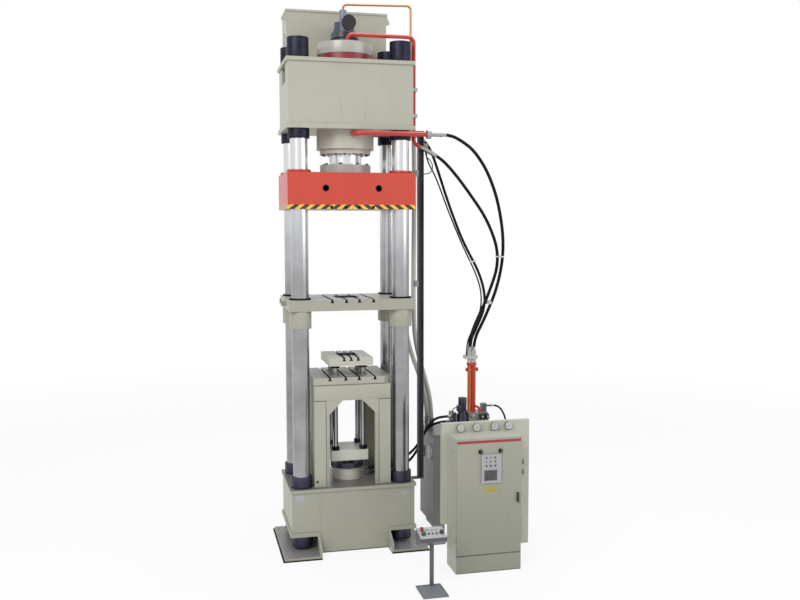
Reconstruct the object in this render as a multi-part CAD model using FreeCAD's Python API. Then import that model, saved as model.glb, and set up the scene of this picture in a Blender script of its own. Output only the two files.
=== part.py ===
"""Four-column hydraulic press with its overhead tank, lift-out ejector, power unit and controls.

Millimetres. The origin is on the floor on the axis of the main ram. +X is to the right of
someone who stands at the front, +Y points away from them and +Z is up.
"""

import FreeCAD, Part
import math
import os
from FreeCAD import Vector

# ---------------------------------------------------------------- driving dimensions

# clearances
RUNNING_GAP = 0.1            # radial, between a guide and the rod that runs in it
SEAT_GAP = 0.3               # between pieces that are put together but don't slide

# faces of round pieces that are there many times over
NUT_SIDES = 20
ROUND_SIDES = 16
PIPE_SIDES = 8
HOSE_SIDES = 6
HEX_SIDES = 6

# tie columns
COLUMN_X = 712.0
COLUMN_Y = 395.0
COLUMN_RADIUS = 120.0
COLUMN_FOOT = 122.0
COLUMN_HEAD_BELOW_NUT = 12.0
NUT_WALL = 28.0
TOP_NUT_HEIGHT = 275.0
INNER_NUT_HEIGHT = 132.0
BASE_NUT_HEIGHT = 154.0

# base weldment
BASE_HALF_X = COLUMN_X + 184.0
BASE_HALF_Y = COLUMN_Y + 189.0
BASE_HEIGHT = 916.0
BASE_TOP_PLATE = 45.0
BASE_LIP = 22.0
BASE_WALL = 30.0
BASE_RIB_Y = 245.0
LEDGE_BOTTOM = 250.0
LEDGE_PLATE = 55.0
FOOT_INNER_X = 490.0
FOOT_OUTER_X = BASE_HALF_X + 114.0
FOOT_FRONT_Y = BASE_HALF_Y + 231.0
FOOT_PLATE = 45.0
TOE_HEIGHT = 120.0
BASE_TUBE_WALL = 30.0
ANCHOR_X = FOOT_OUTER_X - 60.0
ANCHOR_Y = 500.0
ANCHOR_HOLE_RADIUS = 18.0

# work table on the base
TABLE_HALF_X = 550.0
TABLE_HALF_Y = 490.0
TABLE_HEIGHT = 1539.0
TABLE_PLATE = 110.0
TABLE_WALL = 60.0
TABLE_WALL_INSET = 6.0
ARCH_HALF_WIDTH = 325.0
ARCH_SPRING = 1024.0
ARCH_RISE = 190.0
ARCH_HALF_TOP = 138.0
SIDE_ARCH_HALF_WIDTH = 260.0
SIDE_ARCH_SPRING = 560.0
SIDE_ARCH_RISE = 140.0
SIDE_ARCH_HALF_TOP = 120.0
TABLE_CORNER_CUT = 96.0
TABLE_SLOTS = (-320.0, -95.0, 95.0, 320.0)
TABLE_DRAIN = (-506.0, 75.0, 20.0)

# slots for clamping bolts
SLOT_NECK = 28.0
SLOT_NECK_DEPTH = 26.0
SLOT_HEAD = 46.0
SLOT_HEAD_DEPTH = 20.0

# slide (upper moving beam)
SLIDE_HALF_X = COLUMN_X + 176.0
SLIDE_HALF_Y = COLUMN_Y + 168.0
SLIDE_BELOW_CROWN = 590.0
SLIDE_HEIGHT = 500.0
SLIDE_BOTTOM_PLATE = 62.0
SLIDE_TOP_PLATE = 39.0
SLIDE_WALL = 40.0
SLIDE_RIB_X = 450.0
SLIDE_RIB_Y = 260.0
SLIDE_HOLE_X = 368.0
SLIDE_HOLE_HEIGHT = 285.0
SLIDE_HOLE_RADIUS = 48.0
BEAM_SLOTS = (-290.0, -92.0, 92.0, 290.0)
BUSH_RADIUS = COLUMN_RADIUS + 46.0
BUSH_HEIGHT = 36.0
STRIKER_REACH = 58.0
STRIKER_HEIGHT = 90.0

# middle platen
PLATEN_HALF_X = COLUMN_X + 169.0
PLATEN_HALF_Y = COLUMN_Y + 164.0
PLATEN_ABOVE_TABLE = 940.0
PLATEN_THICKNESS = 153.0
PLATEN_HOLE_HALF_X = 165.0
PLATEN_HOLE_HALF_Y = 200.0
GUIDE_RADIUS = COLUMN_RADIUS + 34.0
GUIDE_LENGTH = 245.0
WIPER_RADIUS = COLUMN_RADIUS + 30.0
WIPER_HEIGHT = 22.0

# crown weldment
CROWN_HALF_X = COLUMN_X + 178.0
CROWN_HALF_Y = COLUMN_Y + 168.0
CROWN_BOTTOM = 5880.0
CROWN_HEIGHT = 940.0
CROWN_TOP_PLATE = 50.0
CROWN_BOTTOM_PLATE = 60.0
CROWN_LIP = 26.0
CROWN_WALL = 40.0
CROWN_TUBE_WALL = 20.0
CROWN_RIB_X = 450.0
CROWN_CORE_WALL = 58.0
CROWN_WINDOW_HALF_Y = 200.0
CROWN_WINDOW_HEIGHT = 240.0

# main cylinder, its ring nut, gland and ram
RAM_RADIUS = 230.0
RAM_HEAD_WALL = 19.9
RAM_BORE = RAM_RADIUS + RUNNING_GAP
RAM_HEAD_RADIUS = RAM_RADIUS + RAM_HEAD_WALL
RAM_HEAD_HEIGHT = 110.0
RAM_HEAD_BELOW_CROWN_TOP = 65.0
RAM_COLLAR_RADIUS = RAM_RADIUS + 32.0
RAM_COLLAR_HEIGHT = 50.0
CYLINDER_BORE = RAM_HEAD_RADIUS + RUNNING_GAP
CYLINDER_RADIUS = CYLINDER_BORE + 90.0
CYLINDER_SHOULDER_RADIUS = CYLINDER_RADIUS + 65.0
CYLINDER_SHOULDER_DROP = 250.0
CYLINDER_ABOVE_CROWN = 143.0
CYLINDER_BORE_ABOVE_CROWN = 80.0
RING_NUT_RADIUS = CYLINDER_RADIUS + 48.0
CYLINDER_CAP_RADIUS = CYLINDER_RADIUS + 32.0
CYLINDER_CAP_HEIGHT = 134.0
CYLINDER_CAP_CHAMFER = 30.0
GLAND_RADIUS = CYLINDER_RADIUS + 20.0
GLAND_HEIGHT = 64.0
RAM_FLANGE_RADIUS = RAM_COLLAR_RADIUS + 98.0
RAM_FLANGE_HEIGHT = 125.0
FLANGE_BOLT_COUNT = 8
FLANGE_BOLT_CIRCLE = RAM_COLLAR_RADIUS + 50.0
FLANGE_BOLT_HEAD = 26.0

# prefill valve and suction pipe
VALVE_NECK_RADIUS = 150.0
VALVE_NECK_HEIGHT = 83.0
VALVE_FLANGE_RADIUS = 193.0
VALVE_FLANGE_HEIGHT = 70.0
VALVE_BODY_RADIUS = 145.0
VALVE_BODY_HEIGHT = 150.0
PILOT_X = -19.0
PILOT_RADIUS = 50.0
PILOT_HEIGHT = 180.0
SUCTION_X = 35.0
SUCTION_RISE = 206.0
SUCTION_RADIUS = 100.0
SUCTION_FRONT = -150.0
SUCTION_CAP = 40.0

# overhead tank
TANK_HALF_X = 742.0
TANK_FRONT = 620.0
TANK_DEPTH = 560.0
TANK_HEIGHT = 806.0
TANK_WALL = 12.0
TANK_RIM = 30.0
BEAM_X = 450.0
BEAM_WIDTH = 100.0
BEAM_HEIGHT = 80.0
BEAM_FRONT = 120.0
TANK_LUG = 58.0

# rigid pipes
TOP_PIPE_DIAMETER = 56.0
TOP_PIPE_Y = -300.0
TOP_PIPE_RISE = 93.0
TOP_PIPE_BEND = 84.0
SIDE_PIPE_X = CROWN_HALF_X + 40.0
SIDE_PIPE_DROP = 157.5
SIDE_PIPE_REACH = 100.0
PILOT_PIPE_DIAMETER = 34.0
PILOT_PIPE_Y = -130.0
PILOT_PIPE_RISE = 80.0
PILOT_PIPE_BEND = 60.0
LOWER_PIPE_DIAMETER = 70.0
LOWER_PIPE_X = 40.0
LOWER_PIPE_Y = -CROWN_HALF_Y - 47.0
LOWER_PIPE_DROP = 58.0
LOWER_PIPE_END = CROWN_HALF_X + 146.0
LOWER_PIPE_BEND = 105.0
UNION_RADIUS = 62.0
UNION_LENGTH = 57.0
FITTING_RADIUS = 31.0
CROSS_PIPE_CORNER = CROWN_HALF_X + 200.0
CROSS_PIPE_DROP = 30.0
CROSS_PIPE_BEND = 60.0
CLAMP_RISES = (200.0, 560.0)
CLAMP_HEIGHT = 50.0
CLAMP_WALL = 12.0

# switch rail
RAIL_X = BASE_HALF_X + 154.0
RAIL_Y = -225.0
RAIL_WIDTH = 80.0
RAIL_WALL = 10.0
RAIL_FOOT_DROP = 15.0
RAIL_BRACKET_DEPTH = 130.0
RAIL_BRACKET_PLATE = 24.0
SWITCH_HEIGHTS = (5310.0, 3735.0)
SWITCH_HEIGHT = 90.0
SWITCH_REACH = 60.0
SWITCH_ROLLER = 16.0
CABLE_BOX_BOTTOM = 5640.0
CABLE_BOX_DEPTH = 60.0

# ejector under the work table
EJECTOR_RAM_RADIUS = 90.0
EJECTOR_PISTON_WALL = 14.9
EJECTOR_BORE = EJECTOR_RAM_RADIUS + EJECTOR_PISTON_WALL + RUNNING_GAP
EJECTOR_RADIUS = EJECTOR_BORE + 85.0
EJECTOR_HEAD_RADIUS = EJECTOR_RADIUS + 25.0
EJECTOR_HEAD_HEIGHT = 169.0
EJECTOR_BODY_LENGTH = 516.0
EJECTOR_FLOOR = 40.0
EJECTOR_GLAND_RADIUS = EJECTOR_RADIUS + 50.0
EJECTOR_GLAND_HEIGHT = 75.0
EJECTOR_PISTON_HEIGHT = 120.0
LIFT_PLATE_GAP = 55.0
LIFT_PLATE_THICKNESS = 148.0
ROD_SPACING = 200.0
LIFT_PLATE_HALF_X = ROD_SPACING + 66.0
LIFT_PLATE_HALF_Y = ROD_SPACING + 60.0
ROD_RADIUS = 38.0
ROD_NUT_RADIUS = 60.0
ROD_NUT_HEIGHT = 55.0
COLLAR_RADIUS = 65.0
COLLAR_HEIGHT = 50.0
ROD_BUSH_WALL = 22.0
ROD_BUSH_PROUD = 8.0
EJECTOR_TABLE_GAP = 145.0
EJECTOR_TABLE_HALF_X = 313.0
EJECTOR_TABLE_HALF_Y = 392.0
EJECTOR_TABLE_THICKNESS = 113.0
EJECTOR_TABLE_SLOTS = (-100.0, 0.0, 100.0)
EJECTOR_TABLE_HOLE_X = ROD_SPACING - 60.0
EJECTOR_TABLE_HOLE_Y = ROD_SPACING - 50.0

# power unit
OIL_TANK_LEFT = 1248.0
OIL_TANK_RIGHT = 2300.0
OIL_TANK_FRONT = -209.0
OIL_TANK_BACK = 522.0
OIL_TANK_FEET = 150.0
OIL_TANK_TOP = 1500.0
OIL_TANK_WALL = 10.0
OIL_TANK_RIM = 25.0
FOOT_CHANNEL = 90.0
MOTOR_X = 1720.0
MOTOR_Y = -60.0
MOTOR_RADIUS = 88.0
MOTOR_BASE_RADIUS = 95.0
MOTOR_BASE_HEIGHT = 350.0
MOTOR_HEIGHT = 510.0
MANIFOLD_LEFT = 1818.0
MANIFOLD_RIGHT = 2110.0
MANIFOLD_FRONT = -160.0
MANIFOLD_BACK = 100.0
MANIFOLD_HEIGHT = 290.0
MANIFOLD_VALVES = (1960.0, 2040.0)
MANIFOLD_VALVE_SIZE = 64.0
MANIFOLD_VALVE_HEIGHT = 96.0
DRAIN_BLOCK = 80.0
SIDE_BLOCK_LEFT = 1560.0
SIDE_BLOCK_FRONT = -150.0
SIDE_BLOCK_BACK = 40.0
SIDE_BLOCK_HEIGHT = 300.0
FILTER_RIGHT = 2450.0
FILTER_HEIGHT = 100.0
RISERS = ((1850.0, -60.0, 30.0), (1915.0, -60.0, 32.0), (1885.0, 8.0, 20.0))
RISER_TOP = 2530.0
SLEEVE_TOP = 2690.0
SLEEVE_WALL = 4.0
HEADER_LEFT = 1778.0
HEADER_RIGHT = 1965.0
HEADER_FRONT = -100.0
HEADER_BACK = 36.0
HEADER_BOTTOM = 2590.0
HEADER_TOP = 2640.0

# electrical cabinet
CABINET_LEFT = 1126.0
CABINET_RIGHT = 2023.0
CABINET_FRONT = -1774.0
CABINET_BACK = -1348.0
CABINET_HEIGHT = 1795.0
CABINET_PLINTH = 229.0
CABINET_SHEET = 20.0
DOOR_SHEET = 20.0
DOOR_MARGIN = 7.0
HINGE_RADIUS = 9.0
HINGE_LEAF = 4.0
HINGE_LENGTH = 110.0
HINGE_INSET = 180.0
BACK_PLATE_MARGIN = 60.0
GEAR_STANDOFF = 25.0
GEAR_DUCTS = (560.0, 1130.0)
GEAR_DUCT_WIDTH = 60.0
GEAR_DEPTH = 110.0
GEAR_COUNT = 6
GEAR_PITCH = 120.0
GEAR_WIDTH = 80.0
GEAR_BOTTOM = 780.0
GEAR_HEIGHT = 180.0
HANDLE_X = CABINET_RIGHT - 53.0
HANDLE_Z = CABINET_HEIGHT - 812.0
HANDLE_LENGTH = 136.0
HANDLE_WIDTH = 24.0
HANDLE_THICKNESS = 14.0
HANDLE_STANDOFF = 16.0
SPINDLE_RADIUS = 9.0
KNOB_X = (1451.0, 1726.0)
KNOB_Z = CABINET_HEIGHT - 175.0
KNOB_RADIUS = 30.0
KNOB_LENGTH = 34.0
CONSOLE_LEFT = 1465.0
CONSOLE_RIGHT = 1731.0
CONSOLE_TOP = CABINET_HEIGHT - 216.0
CONSOLE_BOTTOM = CONSOLE_TOP - 377.0
CONSOLE_DEPTH = 25.0
SCREEN_LEFT = CONSOLE_LEFT + 29.0
SCREEN_RIGHT = CONSOLE_RIGHT - 56.0
SCREEN_BOTTOM = CONSOLE_BOTTOM + 30.0
SCREEN_TOP = SCREEN_BOTTOM + 146.0
SCREEN_DEPTH = 4.0
CONSOLE_COLUMNS = (CONSOLE_LEFT + 62.0, CONSOLE_LEFT + 122.0, CONSOLE_LEFT + 183.0)
CONSOLE_ROWS = (CONSOLE_TOP - 39.0, CONSOLE_TOP - 93.0, CONSOLE_TOP - 147.0)
BUTTON_RADIUS = 13.0
BUTTON_STEM_HALF = 7.0
BUTTON_TRAVEL = 4.0
BUTTON_CAP = 8.0
BUTTON_STEM = 20.0
LAMP_RADIUS = 13.0
LAMP_LENGTH = 12.0

# shallow gauge cabinet behind it
GAUGE_BOX_LEFT = 1050.0
GAUGE_BOX_RIGHT = 2296.0
GAUGE_BOX_BACK = CABINET_BACK + 70.0
GAUGE_BOX_BOTTOM = 540.0
GAUGE_BOX_TOP = CABINET_HEIGHT + 125.0
DUCT_WIDTH = 100.0
DUCT_BOTTOM = 188.0
GAUGE_X = (1308.0, 1534.0, 1791.0, 1992.0)
GAUGE_Z = CABINET_HEIGHT + 62.0
GAUGE_RADIUS = 56.0
GAUGE_DEPTH = 38.0

# two-hand control pedestal
PEDESTAL_X = 706.0
PEDESTAL_PLATE = (505.0, 830.0, -2440.0, -2043.0)
PEDESTAL_PLATE_THICKNESS = 12.0
POLE_Y = -2085.0
POLE_RADIUS = 28.0
DESK_LEFT = 520.0
DESK_RIGHT = 862.0
DESK_BACK = -2000.0
DESK_FRONT = -2250.0
DESK_BOTTOM = 560.0
DESK_BACK_TOP = DESK_BOTTOM + 190.0
DESK_FRONT_TOP = DESK_BACK_TOP - 60.0
DESK_FRONT_FACE = 50.0
DESK_KNEE_Y = -2140.0
DESK_STEM = 40.0
STOP_PLACE = (577.0, -2074.0)
PALM_PLACES = ((579.0, -2163.0), (816.0, -2152.0))
PUSH_PLACES = ((648.0, -2155.0), (697.0, -2160.0), (747.0, -2164.0))
PEDESTAL_LAMPS = ((646.0, -2062.0), (709.0, -2069.0), (759.0, -2076.0), (822.0, -2084.0))
STOP_RADIUS = 24.0
STOP_HEIGHT = 40.0
PALM_RADIUS = 26.0
PALM_HEIGHT = 34.0
PUSH_RADIUS = 11.0
PUSH_HEIGHT = 14.0
PALM_TRAVEL = 8.0
PUSH_TRAVEL = 4.0

# hoses and cables: diameter, then the corners that each run was laid through
MAIN_HOSES = (
    (46.0, ((1235, -610, 5822), (1375, -610, 5822), (1560, -570, 5745), (1760, -525, 5615),
            (1990, -470, 5310), (2180, -395, 4860), (2300, -300, 4250), (2235, -220, 3680),
            (2045, -140, 3170), (1915, -60, 2870), (1915, -60, 2690))),
    (46.0, ((1195, -300, 5590), (1320, -300, 5527.5), (1490, -300, 5365), (1730, -280, 5080),
            (2080, -235, 4620), (2275, -195, 4080), (2110, -150, 3540), (1905, -110, 3090),
            (1850, -60, 2860), (1850, -60, 2690))),
    (40.0, ((1120, -20, 5824), (1195, -20, 5759), (1275, -20, 5620), (1370, -18, 5360),
            (1535, -15, 4870), (1760, -12, 4310), (2040, -8, 3830), (2130, -5, 3390),
            (1960, -2, 3010), (1885, 8, 2850), (1885, 8, 2690))),
)
EJECTOR_HOSES = (
    (38.0, ((1560, -105, 1745), (1445, -105, 1745), (1325, -80, 1722), (1215, -65, 1620),
            (1130, -40, 1440), (1060, -20, 1240), (940, -5, 1080), (785, 5, 985),
            (625, 8, 948), (470, 0, 960), (330, 0, 960))),
    (38.0, ((1560, -15, 1650), (1450, -15, 1650), (1345, 10, 1625), (1250, 30, 1575),
            (1165, 50, 1455), (1095, 75, 1300), (975, 100, 1165), (800, 110, 1065),
            (630, 98, 1015), (470, 80, 1005), (330, 80, 1005))),
)
DRAIN_HOSE = (28.0, ((2185, -60, 1870), (2262, -60, 1870), (2338, -70, 1826), (2388, -82, 1742),
                     (2418, -95, 1640), (2418, -95, 1540)))
RETURN_HOSES = (
    (70.0, ((800, 790, 6980), (935, 790, 6980), (1059, 787, 6914), (1143, 778, 6790),
            (1167, 758, 6540), (1184, 715, 6125), (1186, 655, 5530), (1160, 572, 4745),
            (1116, 431, 3970), (1090, 340, 3450), (1090, 290, 2960), (1145, 252, 2620),
            (1240, 208, 2265), (1312, 125, 1900), (1312, 125, 1570))),
    (70.0, ((780, 1000, 6980), (895, 1000, 6980), (1002, 996, 6926), (1076, 986, 6822),
            (1096, 962, 6633), (1075, 925, 6200), (1020, 865, 5400), (995, 815, 4620),
            (998, 765, 3850), (1026, 702, 3130), (1100, 580, 2650), (1215, 420, 2270),
            (1290, 290, 1900), (1290, 290, 1570))),
)
SIGNAL_CABLES = (
    (22.0, ((1130, -235, 5640), (1130, -235, 5560), (1172, -230, 5440), (1262, -223, 5290),
            (1360, -212, 5060), (1470, -200, 4780), (1600, -182, 4490), (1735, -168, 4200),
            (1885, -175, 3910), (1992, -190, 3600), (1975, -190, 3285), (1850, -160, 3010),
            (1795, -85, 2820), (1795, -85, 2640))),
    (14.0, ((1090, -225, 5300), (1155, -225, 5300), (1215, -225, 5335), (1235, -225, 5410),
            (1205, -225, 5485), (1145, -225, 5535), (1120, -225, 5590), (1120, -225, 5640))),
    (14.0, ((1575, -110, 1800), (1575, -110, 1831), (1590, -110, 1857), (1616, -110, 1872),
            (1642.5, -110, 1872))),
)

# ---------------------------------------------------------------- derived levels

COLUMN_BORE = COLUMN_RADIUS + RUNNING_GAP
COLUMN_HOLE = COLUMN_RADIUS + SEAT_GAP
NUT_RADIUS = COLUMN_RADIUS + NUT_WALL
CROWN_TOP = CROWN_BOTTOM + CROWN_HEIGHT
LOWER_PIPE_Z = CROWN_BOTTOM - LOWER_PIPE_DROP
CROSS_PIPE_Z = CROWN_BOTTOM - CROSS_PIPE_DROP
SLIDE_TOP = CROWN_BOTTOM - SLIDE_BELOW_CROWN
SLIDE_BOTTOM = SLIDE_TOP - SLIDE_HEIGHT
RAIL_FOOT = BASE_HEIGHT - RAIL_FOOT_DROP
TABLE_TOP = BASE_HEIGHT + TABLE_HEIGHT
PLATEN_BOTTOM = TABLE_TOP + PLATEN_ABOVE_TABLE
PLATEN_TOP = PLATEN_BOTTOM + PLATEN_THICKNESS
CYLINDER_TOP = CROWN_TOP + CYLINDER_ABOVE_CROWN
CYLINDER_FOOT = CROWN_BOTTOM - CYLINDER_SHOULDER_DROP
CAP_TOP = CYLINDER_TOP + CYLINDER_CAP_HEIGHT
TANK_BOTTOM = CROWN_TOP + BEAM_HEIGHT
TANK_BACK = TANK_FRONT + TANK_DEPTH
SUCTION_TOP = CAP_TOP + VALVE_NECK_HEIGHT
SUCTION_Z = SUCTION_TOP + SUCTION_RISE
VALVE_FLANGE_TOP = SUCTION_TOP + VALVE_FLANGE_HEIGHT
VALVE_TOP = VALVE_FLANGE_TOP + VALVE_BODY_HEIGHT
PILOT_TOP = VALVE_TOP + PILOT_HEIGHT
PILOT_PIPE_Z = PILOT_TOP + PILOT_PIPE_RISE
TOP_PIPE_Z = CAP_TOP + TOP_PIPE_RISE
EJECTOR_FOOT = BASE_HEIGHT - EJECTOR_BODY_LENGTH
EJECTOR_HEAD_TOP = BASE_HEIGHT + EJECTOR_HEAD_HEIGHT
LIFT_PLATE_BOTTOM = EJECTOR_HEAD_TOP + EJECTOR_GLAND_HEIGHT + LIFT_PLATE_GAP
LIFT_PLATE_TOP = LIFT_PLATE_BOTTOM + LIFT_PLATE_THICKNESS
EJECTOR_TABLE_BOTTOM = TABLE_TOP + EJECTOR_TABLE_GAP
EJECTOR_TABLE_TOP = EJECTOR_TABLE_BOTTOM + EJECTOR_TABLE_THICKNESS
DOOR_LEFT = CABINET_LEFT + DOOR_MARGIN
DOOR_BOTTOM = CABINET_PLINTH + DOOR_MARGIN
DOOR_FRONT = CABINET_FRONT
DOOR_BACK = CABINET_FRONT + DOOR_SHEET
HINGE_X = DOOR_LEFT - HINGE_RADIUS - SEAT_GAP
HINGE_Y = CABINET_FRONT + HINGE_RADIUS
DESK_SLOPE = math.atan2(DESK_BACK_TOP - DESK_FRONT_TOP, DESK_BACK - DESK_FRONT)

UP = Vector(0, 0, 1)


# ---------------------------------------------------------------- solids to build with

def block(x0, x1, y0, y1, z0, z1):
    """A box between six planes."""
    return Part.makeBox(x1 - x0, y1 - y0, z1 - z0, Vector(x0, y0, z0))


def slab(half_x, half_y, z0, z1):
    """A box that is centred on the press axis."""
    return block(-half_x, half_x, -half_y, half_y, z0, z1)


def rod(radius, z0, z1, x=0.0, y=0.0):
    """An upright cylinder."""
    return Part.makeCylinder(radius, z1 - z0, Vector(x, y, z0))


def bar(radius, start, end):
    """A cylinder from one point to another."""
    start, end = Vector(*start), Vector(*end)
    return Part.makeCylinder(radius, (end - start).Length, start, end - start)


def post(half, z0, z1, x=0.0, y=0.0):
    """An upright square post."""
    return block(x - half, x + half, y - half, y + half, z0, z1)


def ring(outer, inner, z0, z1, x=0.0, y=0.0):
    """An upright tube."""
    return rod(outer, z0, z1, x, y).cut(rod(inner, z0, z1, x, y))


def turned(profile, x=0.0, y=0.0):
    """A solid of revolution about an upright axis, from its (radius, height) outline."""
    corners = [Vector(x + radius, y, z) for radius, z in profile]
    face = Part.Face(Part.makePolygon(corners + corners[:1]))
    return face.revolve(Vector(x, y, 0), UP, 360)


def plate_xz(outline, y0, y1):
    """A plate of constant thickness that faces the front, from its (x, z) outline."""
    corners = [Vector(x, y0, z) for x, z in outline]
    return Part.Face(Part.makePolygon(corners + corners[:1])).extrude(Vector(0, y1 - y0, 0))


def plate_yz(outline, x0, x1):
    """A plate of constant thickness that faces the side, from its (y, z) outline."""
    corners = [Vector(x0, y, z) for y, z in outline]
    return Part.Face(Part.makePolygon(corners + corners[:1])).extrude(Vector(x1 - x0, 0, 0))


def plate_xy(outline, z0, z1):
    """A level plate, from its (x, y) outline."""
    corners = [Vector(x, y, z0) for x, y in outline]
    return Part.Face(Part.makePolygon(corners + corners[:1])).extrude(Vector(0, 0, z1 - z0))


def polygon_face(sides, radius, centre, direction):
    """A regular many-sided face, square to a direction."""
    direction = Vector(direction).normalize()
    across = direction.cross(UP)
    if across.Length < 0.1:
        across = direction.cross(Vector(0, 1, 0))
    across = across.normalize()
    along = direction.cross(across)
    corners = []
    for i in range(sides):
        turn = 2 * math.pi * (i + 0.5) / sides
        corners.append(centre + across * (radius * math.cos(turn)) + along * (radius * math.sin(turn)))
    return Part.Face(Part.makePolygon(corners + corners[:1]))


def prism(sides, radius, start, end):
    """A many-sided bar from one point to another, such as a hexagon fitting."""
    start, end = Vector(*start), Vector(*end)
    return polygon_face(sides, radius, start, end - start).extrude(end - start)


def collar(sides, outer, inner, z0, z1, x=0.0, y=0.0):
    """An upright many-sided ring whose hole clears a round of the inner radius."""
    hole = inner / math.cos(math.pi / sides)
    return prism(sides, outer, (x, y, z0), (x, y, z1)).cut(prism(sides, hole, (x, y, z0), (x, y, z1)))


def sleeve(outer, bore, z0, z1, x, y):
    """An upright many-sided ring with a round bore."""
    return prism(NUT_SIDES, outer, (x, y, z0), (x, y, z1)).cut(rod(bore, z0, z1, x, y))


def weld(pieces):
    """One solid from pieces that touch or cross."""
    return pieces[0].multiFuse(pieces[1:]).removeSplitter()


def solids(pieces):
    """Several loose solids that share one sub-part."""
    return Part.makeCompound(pieces)


def at_columns(make):
    """The same thing at each of the four tie columns."""
    return [make(x, y) for x in (-COLUMN_X, COLUMN_X) for y in (-COLUMN_Y, COLUMN_Y)]


def mirrored_block(side, x0, x1, y0, y1, z0, z1):
    """A box given for the right side and placed on either side."""
    near, far = sorted((side * x0, side * x1))
    return block(near, far, y0, y1, z0, z1)


def clamp_slots(positions, half_y, face, into):
    """What a row of T slots takes out of a plate; into is 1 from below and -1 from above."""
    neck = sorted((face, face + into * SLOT_NECK_DEPTH))
    head = sorted((face + into * SLOT_NECK_DEPTH, face + into * (SLOT_NECK_DEPTH + SLOT_HEAD_DEPTH)))
    cuts = []
    for x in positions:
        cuts.append(block(x - SLOT_NECK / 2, x + SLOT_NECK / 2, -half_y, half_y, *neck))
        cuts.append(block(x - SLOT_HEAD / 2, x + SLOT_HEAD / 2, -half_y, half_y, *head))
    return cuts


# ---------------------------------------------------------------- runs of pipe and hose

HOSE_BEND_SHARE = 0.45       # how much of the shorter of two runs a hose bends over


def bends_of(corners, radius):
    """For each inner corner: how far the bend starts before it, its radius, its turn and axis."""
    bends = []
    for before, corner, after in zip(corners, corners[1:], corners[2:]):
        coming, going = corner - before, after - corner
        turn = coming.getAngle(going)
        if radius:
            setback = radius * math.tan(turn / 2)
        else:
            setback = HOSE_BEND_SHARE * min(coming.Length, going.Length)
        bends.append((setback, setback / math.tan(turn / 2), turn, coming.cross(going).normalize()))
    return bends


def run_along(points, diameter, sides, radius=0.0):
    """A pipe of straight runs and tangent bends, with its length and its tightest bend.

    Without a bend radius each bend is as large as its two runs allow.
    """
    corners = [Vector(*point) for point in points]
    bends = bends_of(corners, radius)
    face = polygon_face(sides, diameter / 2, corners[0], corners[1] - corners[0])
    place = corners[0]
    pieces, length = [], 0.0
    for corner, (setback, bend, turn, axis) in zip(corners[1:], bends):
        heading = Vector(corner - place).normalize()
        run = heading * ((corner - place).Length - setback)
        pieces.append(face.extrude(run))
        face.translate(run)
        place = place + run
        centre = place + axis.cross(heading) * bend
        pieces.append(face.revolve(centre, axis, math.degrees(turn)))
        face.rotate(centre, axis, math.degrees(turn))
        place = centre + FreeCAD.Rotation(axis, math.degrees(turn)).multVec(place - centre)
        length += run.Length + bend * turn
    last = corners[-1] - place
    pieces.append(face.extrude(last))
    return pieces[0].multiFuse(pieces[1:]), length + last.Length, min(bend for _, bend, _, _ in bends)


def hoses(name, runs):
    """The hoses of one sub-part; prints the tightest bend and how the volume compares."""
    made = []
    for diameter, points in runs:
        solid, length, tightest = run_along(points, diameter, HOSE_SIDES)
        section = HOSE_SIDES / 2 * (diameter / 2) ** 2 * math.sin(2 * math.pi / HOSE_SIDES)
        print(f"{name}: diameter {diameter:.0f}, length {length:.0f}, tightest bend {tightest:.0f}, "
              f"volume over section x length {solid.Volume / (section * length):.4f}")
        made.append(solid)
    return solids(made)


# ---------------------------------------------------------------- frame of the press

def tie_columns():
    """Four round columns that tie the crown to the base."""
    top = CROWN_TOP + TOP_NUT_HEIGHT - COLUMN_HEAD_BELOW_NUT
    return solids(at_columns(lambda x, y: rod(COLUMN_RADIUS, COLUMN_FOOT, top, x, y)))


def column_nuts():
    """Above and below the crown and the base, one round nut on each column."""
    def nut(z0, z1, x, y):
        return collar(NUT_SIDES, NUT_RADIUS, COLUMN_HOLE, z0, z1, x, y)

    nuts = at_columns(lambda x, y: nut(CROWN_TOP, CROWN_TOP + TOP_NUT_HEIGHT, x, y))
    nuts += at_columns(lambda x, y: nut(CROWN_BOTTOM - INNER_NUT_HEIGHT, CROWN_BOTTOM, x, y))
    nuts += at_columns(lambda x, y: nut(BASE_HEIGHT, BASE_HEIGHT + BASE_NUT_HEIGHT, x, y))
    nuts += at_columns(lambda x, y: nut(COLUMN_FOOT + COLUMN_HEAD_BELOW_NUT, LEDGE_BOTTOM, x, y))
    return solids(nuts)


def column_hole(z0, z1, x, y):
    """What a column's hole takes out of the crown or the base."""
    return prism(NUT_SIDES, COLUMN_HOLE / math.cos(math.pi / NUT_SIDES), (x, y, z0), (x, y, z1))


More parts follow.
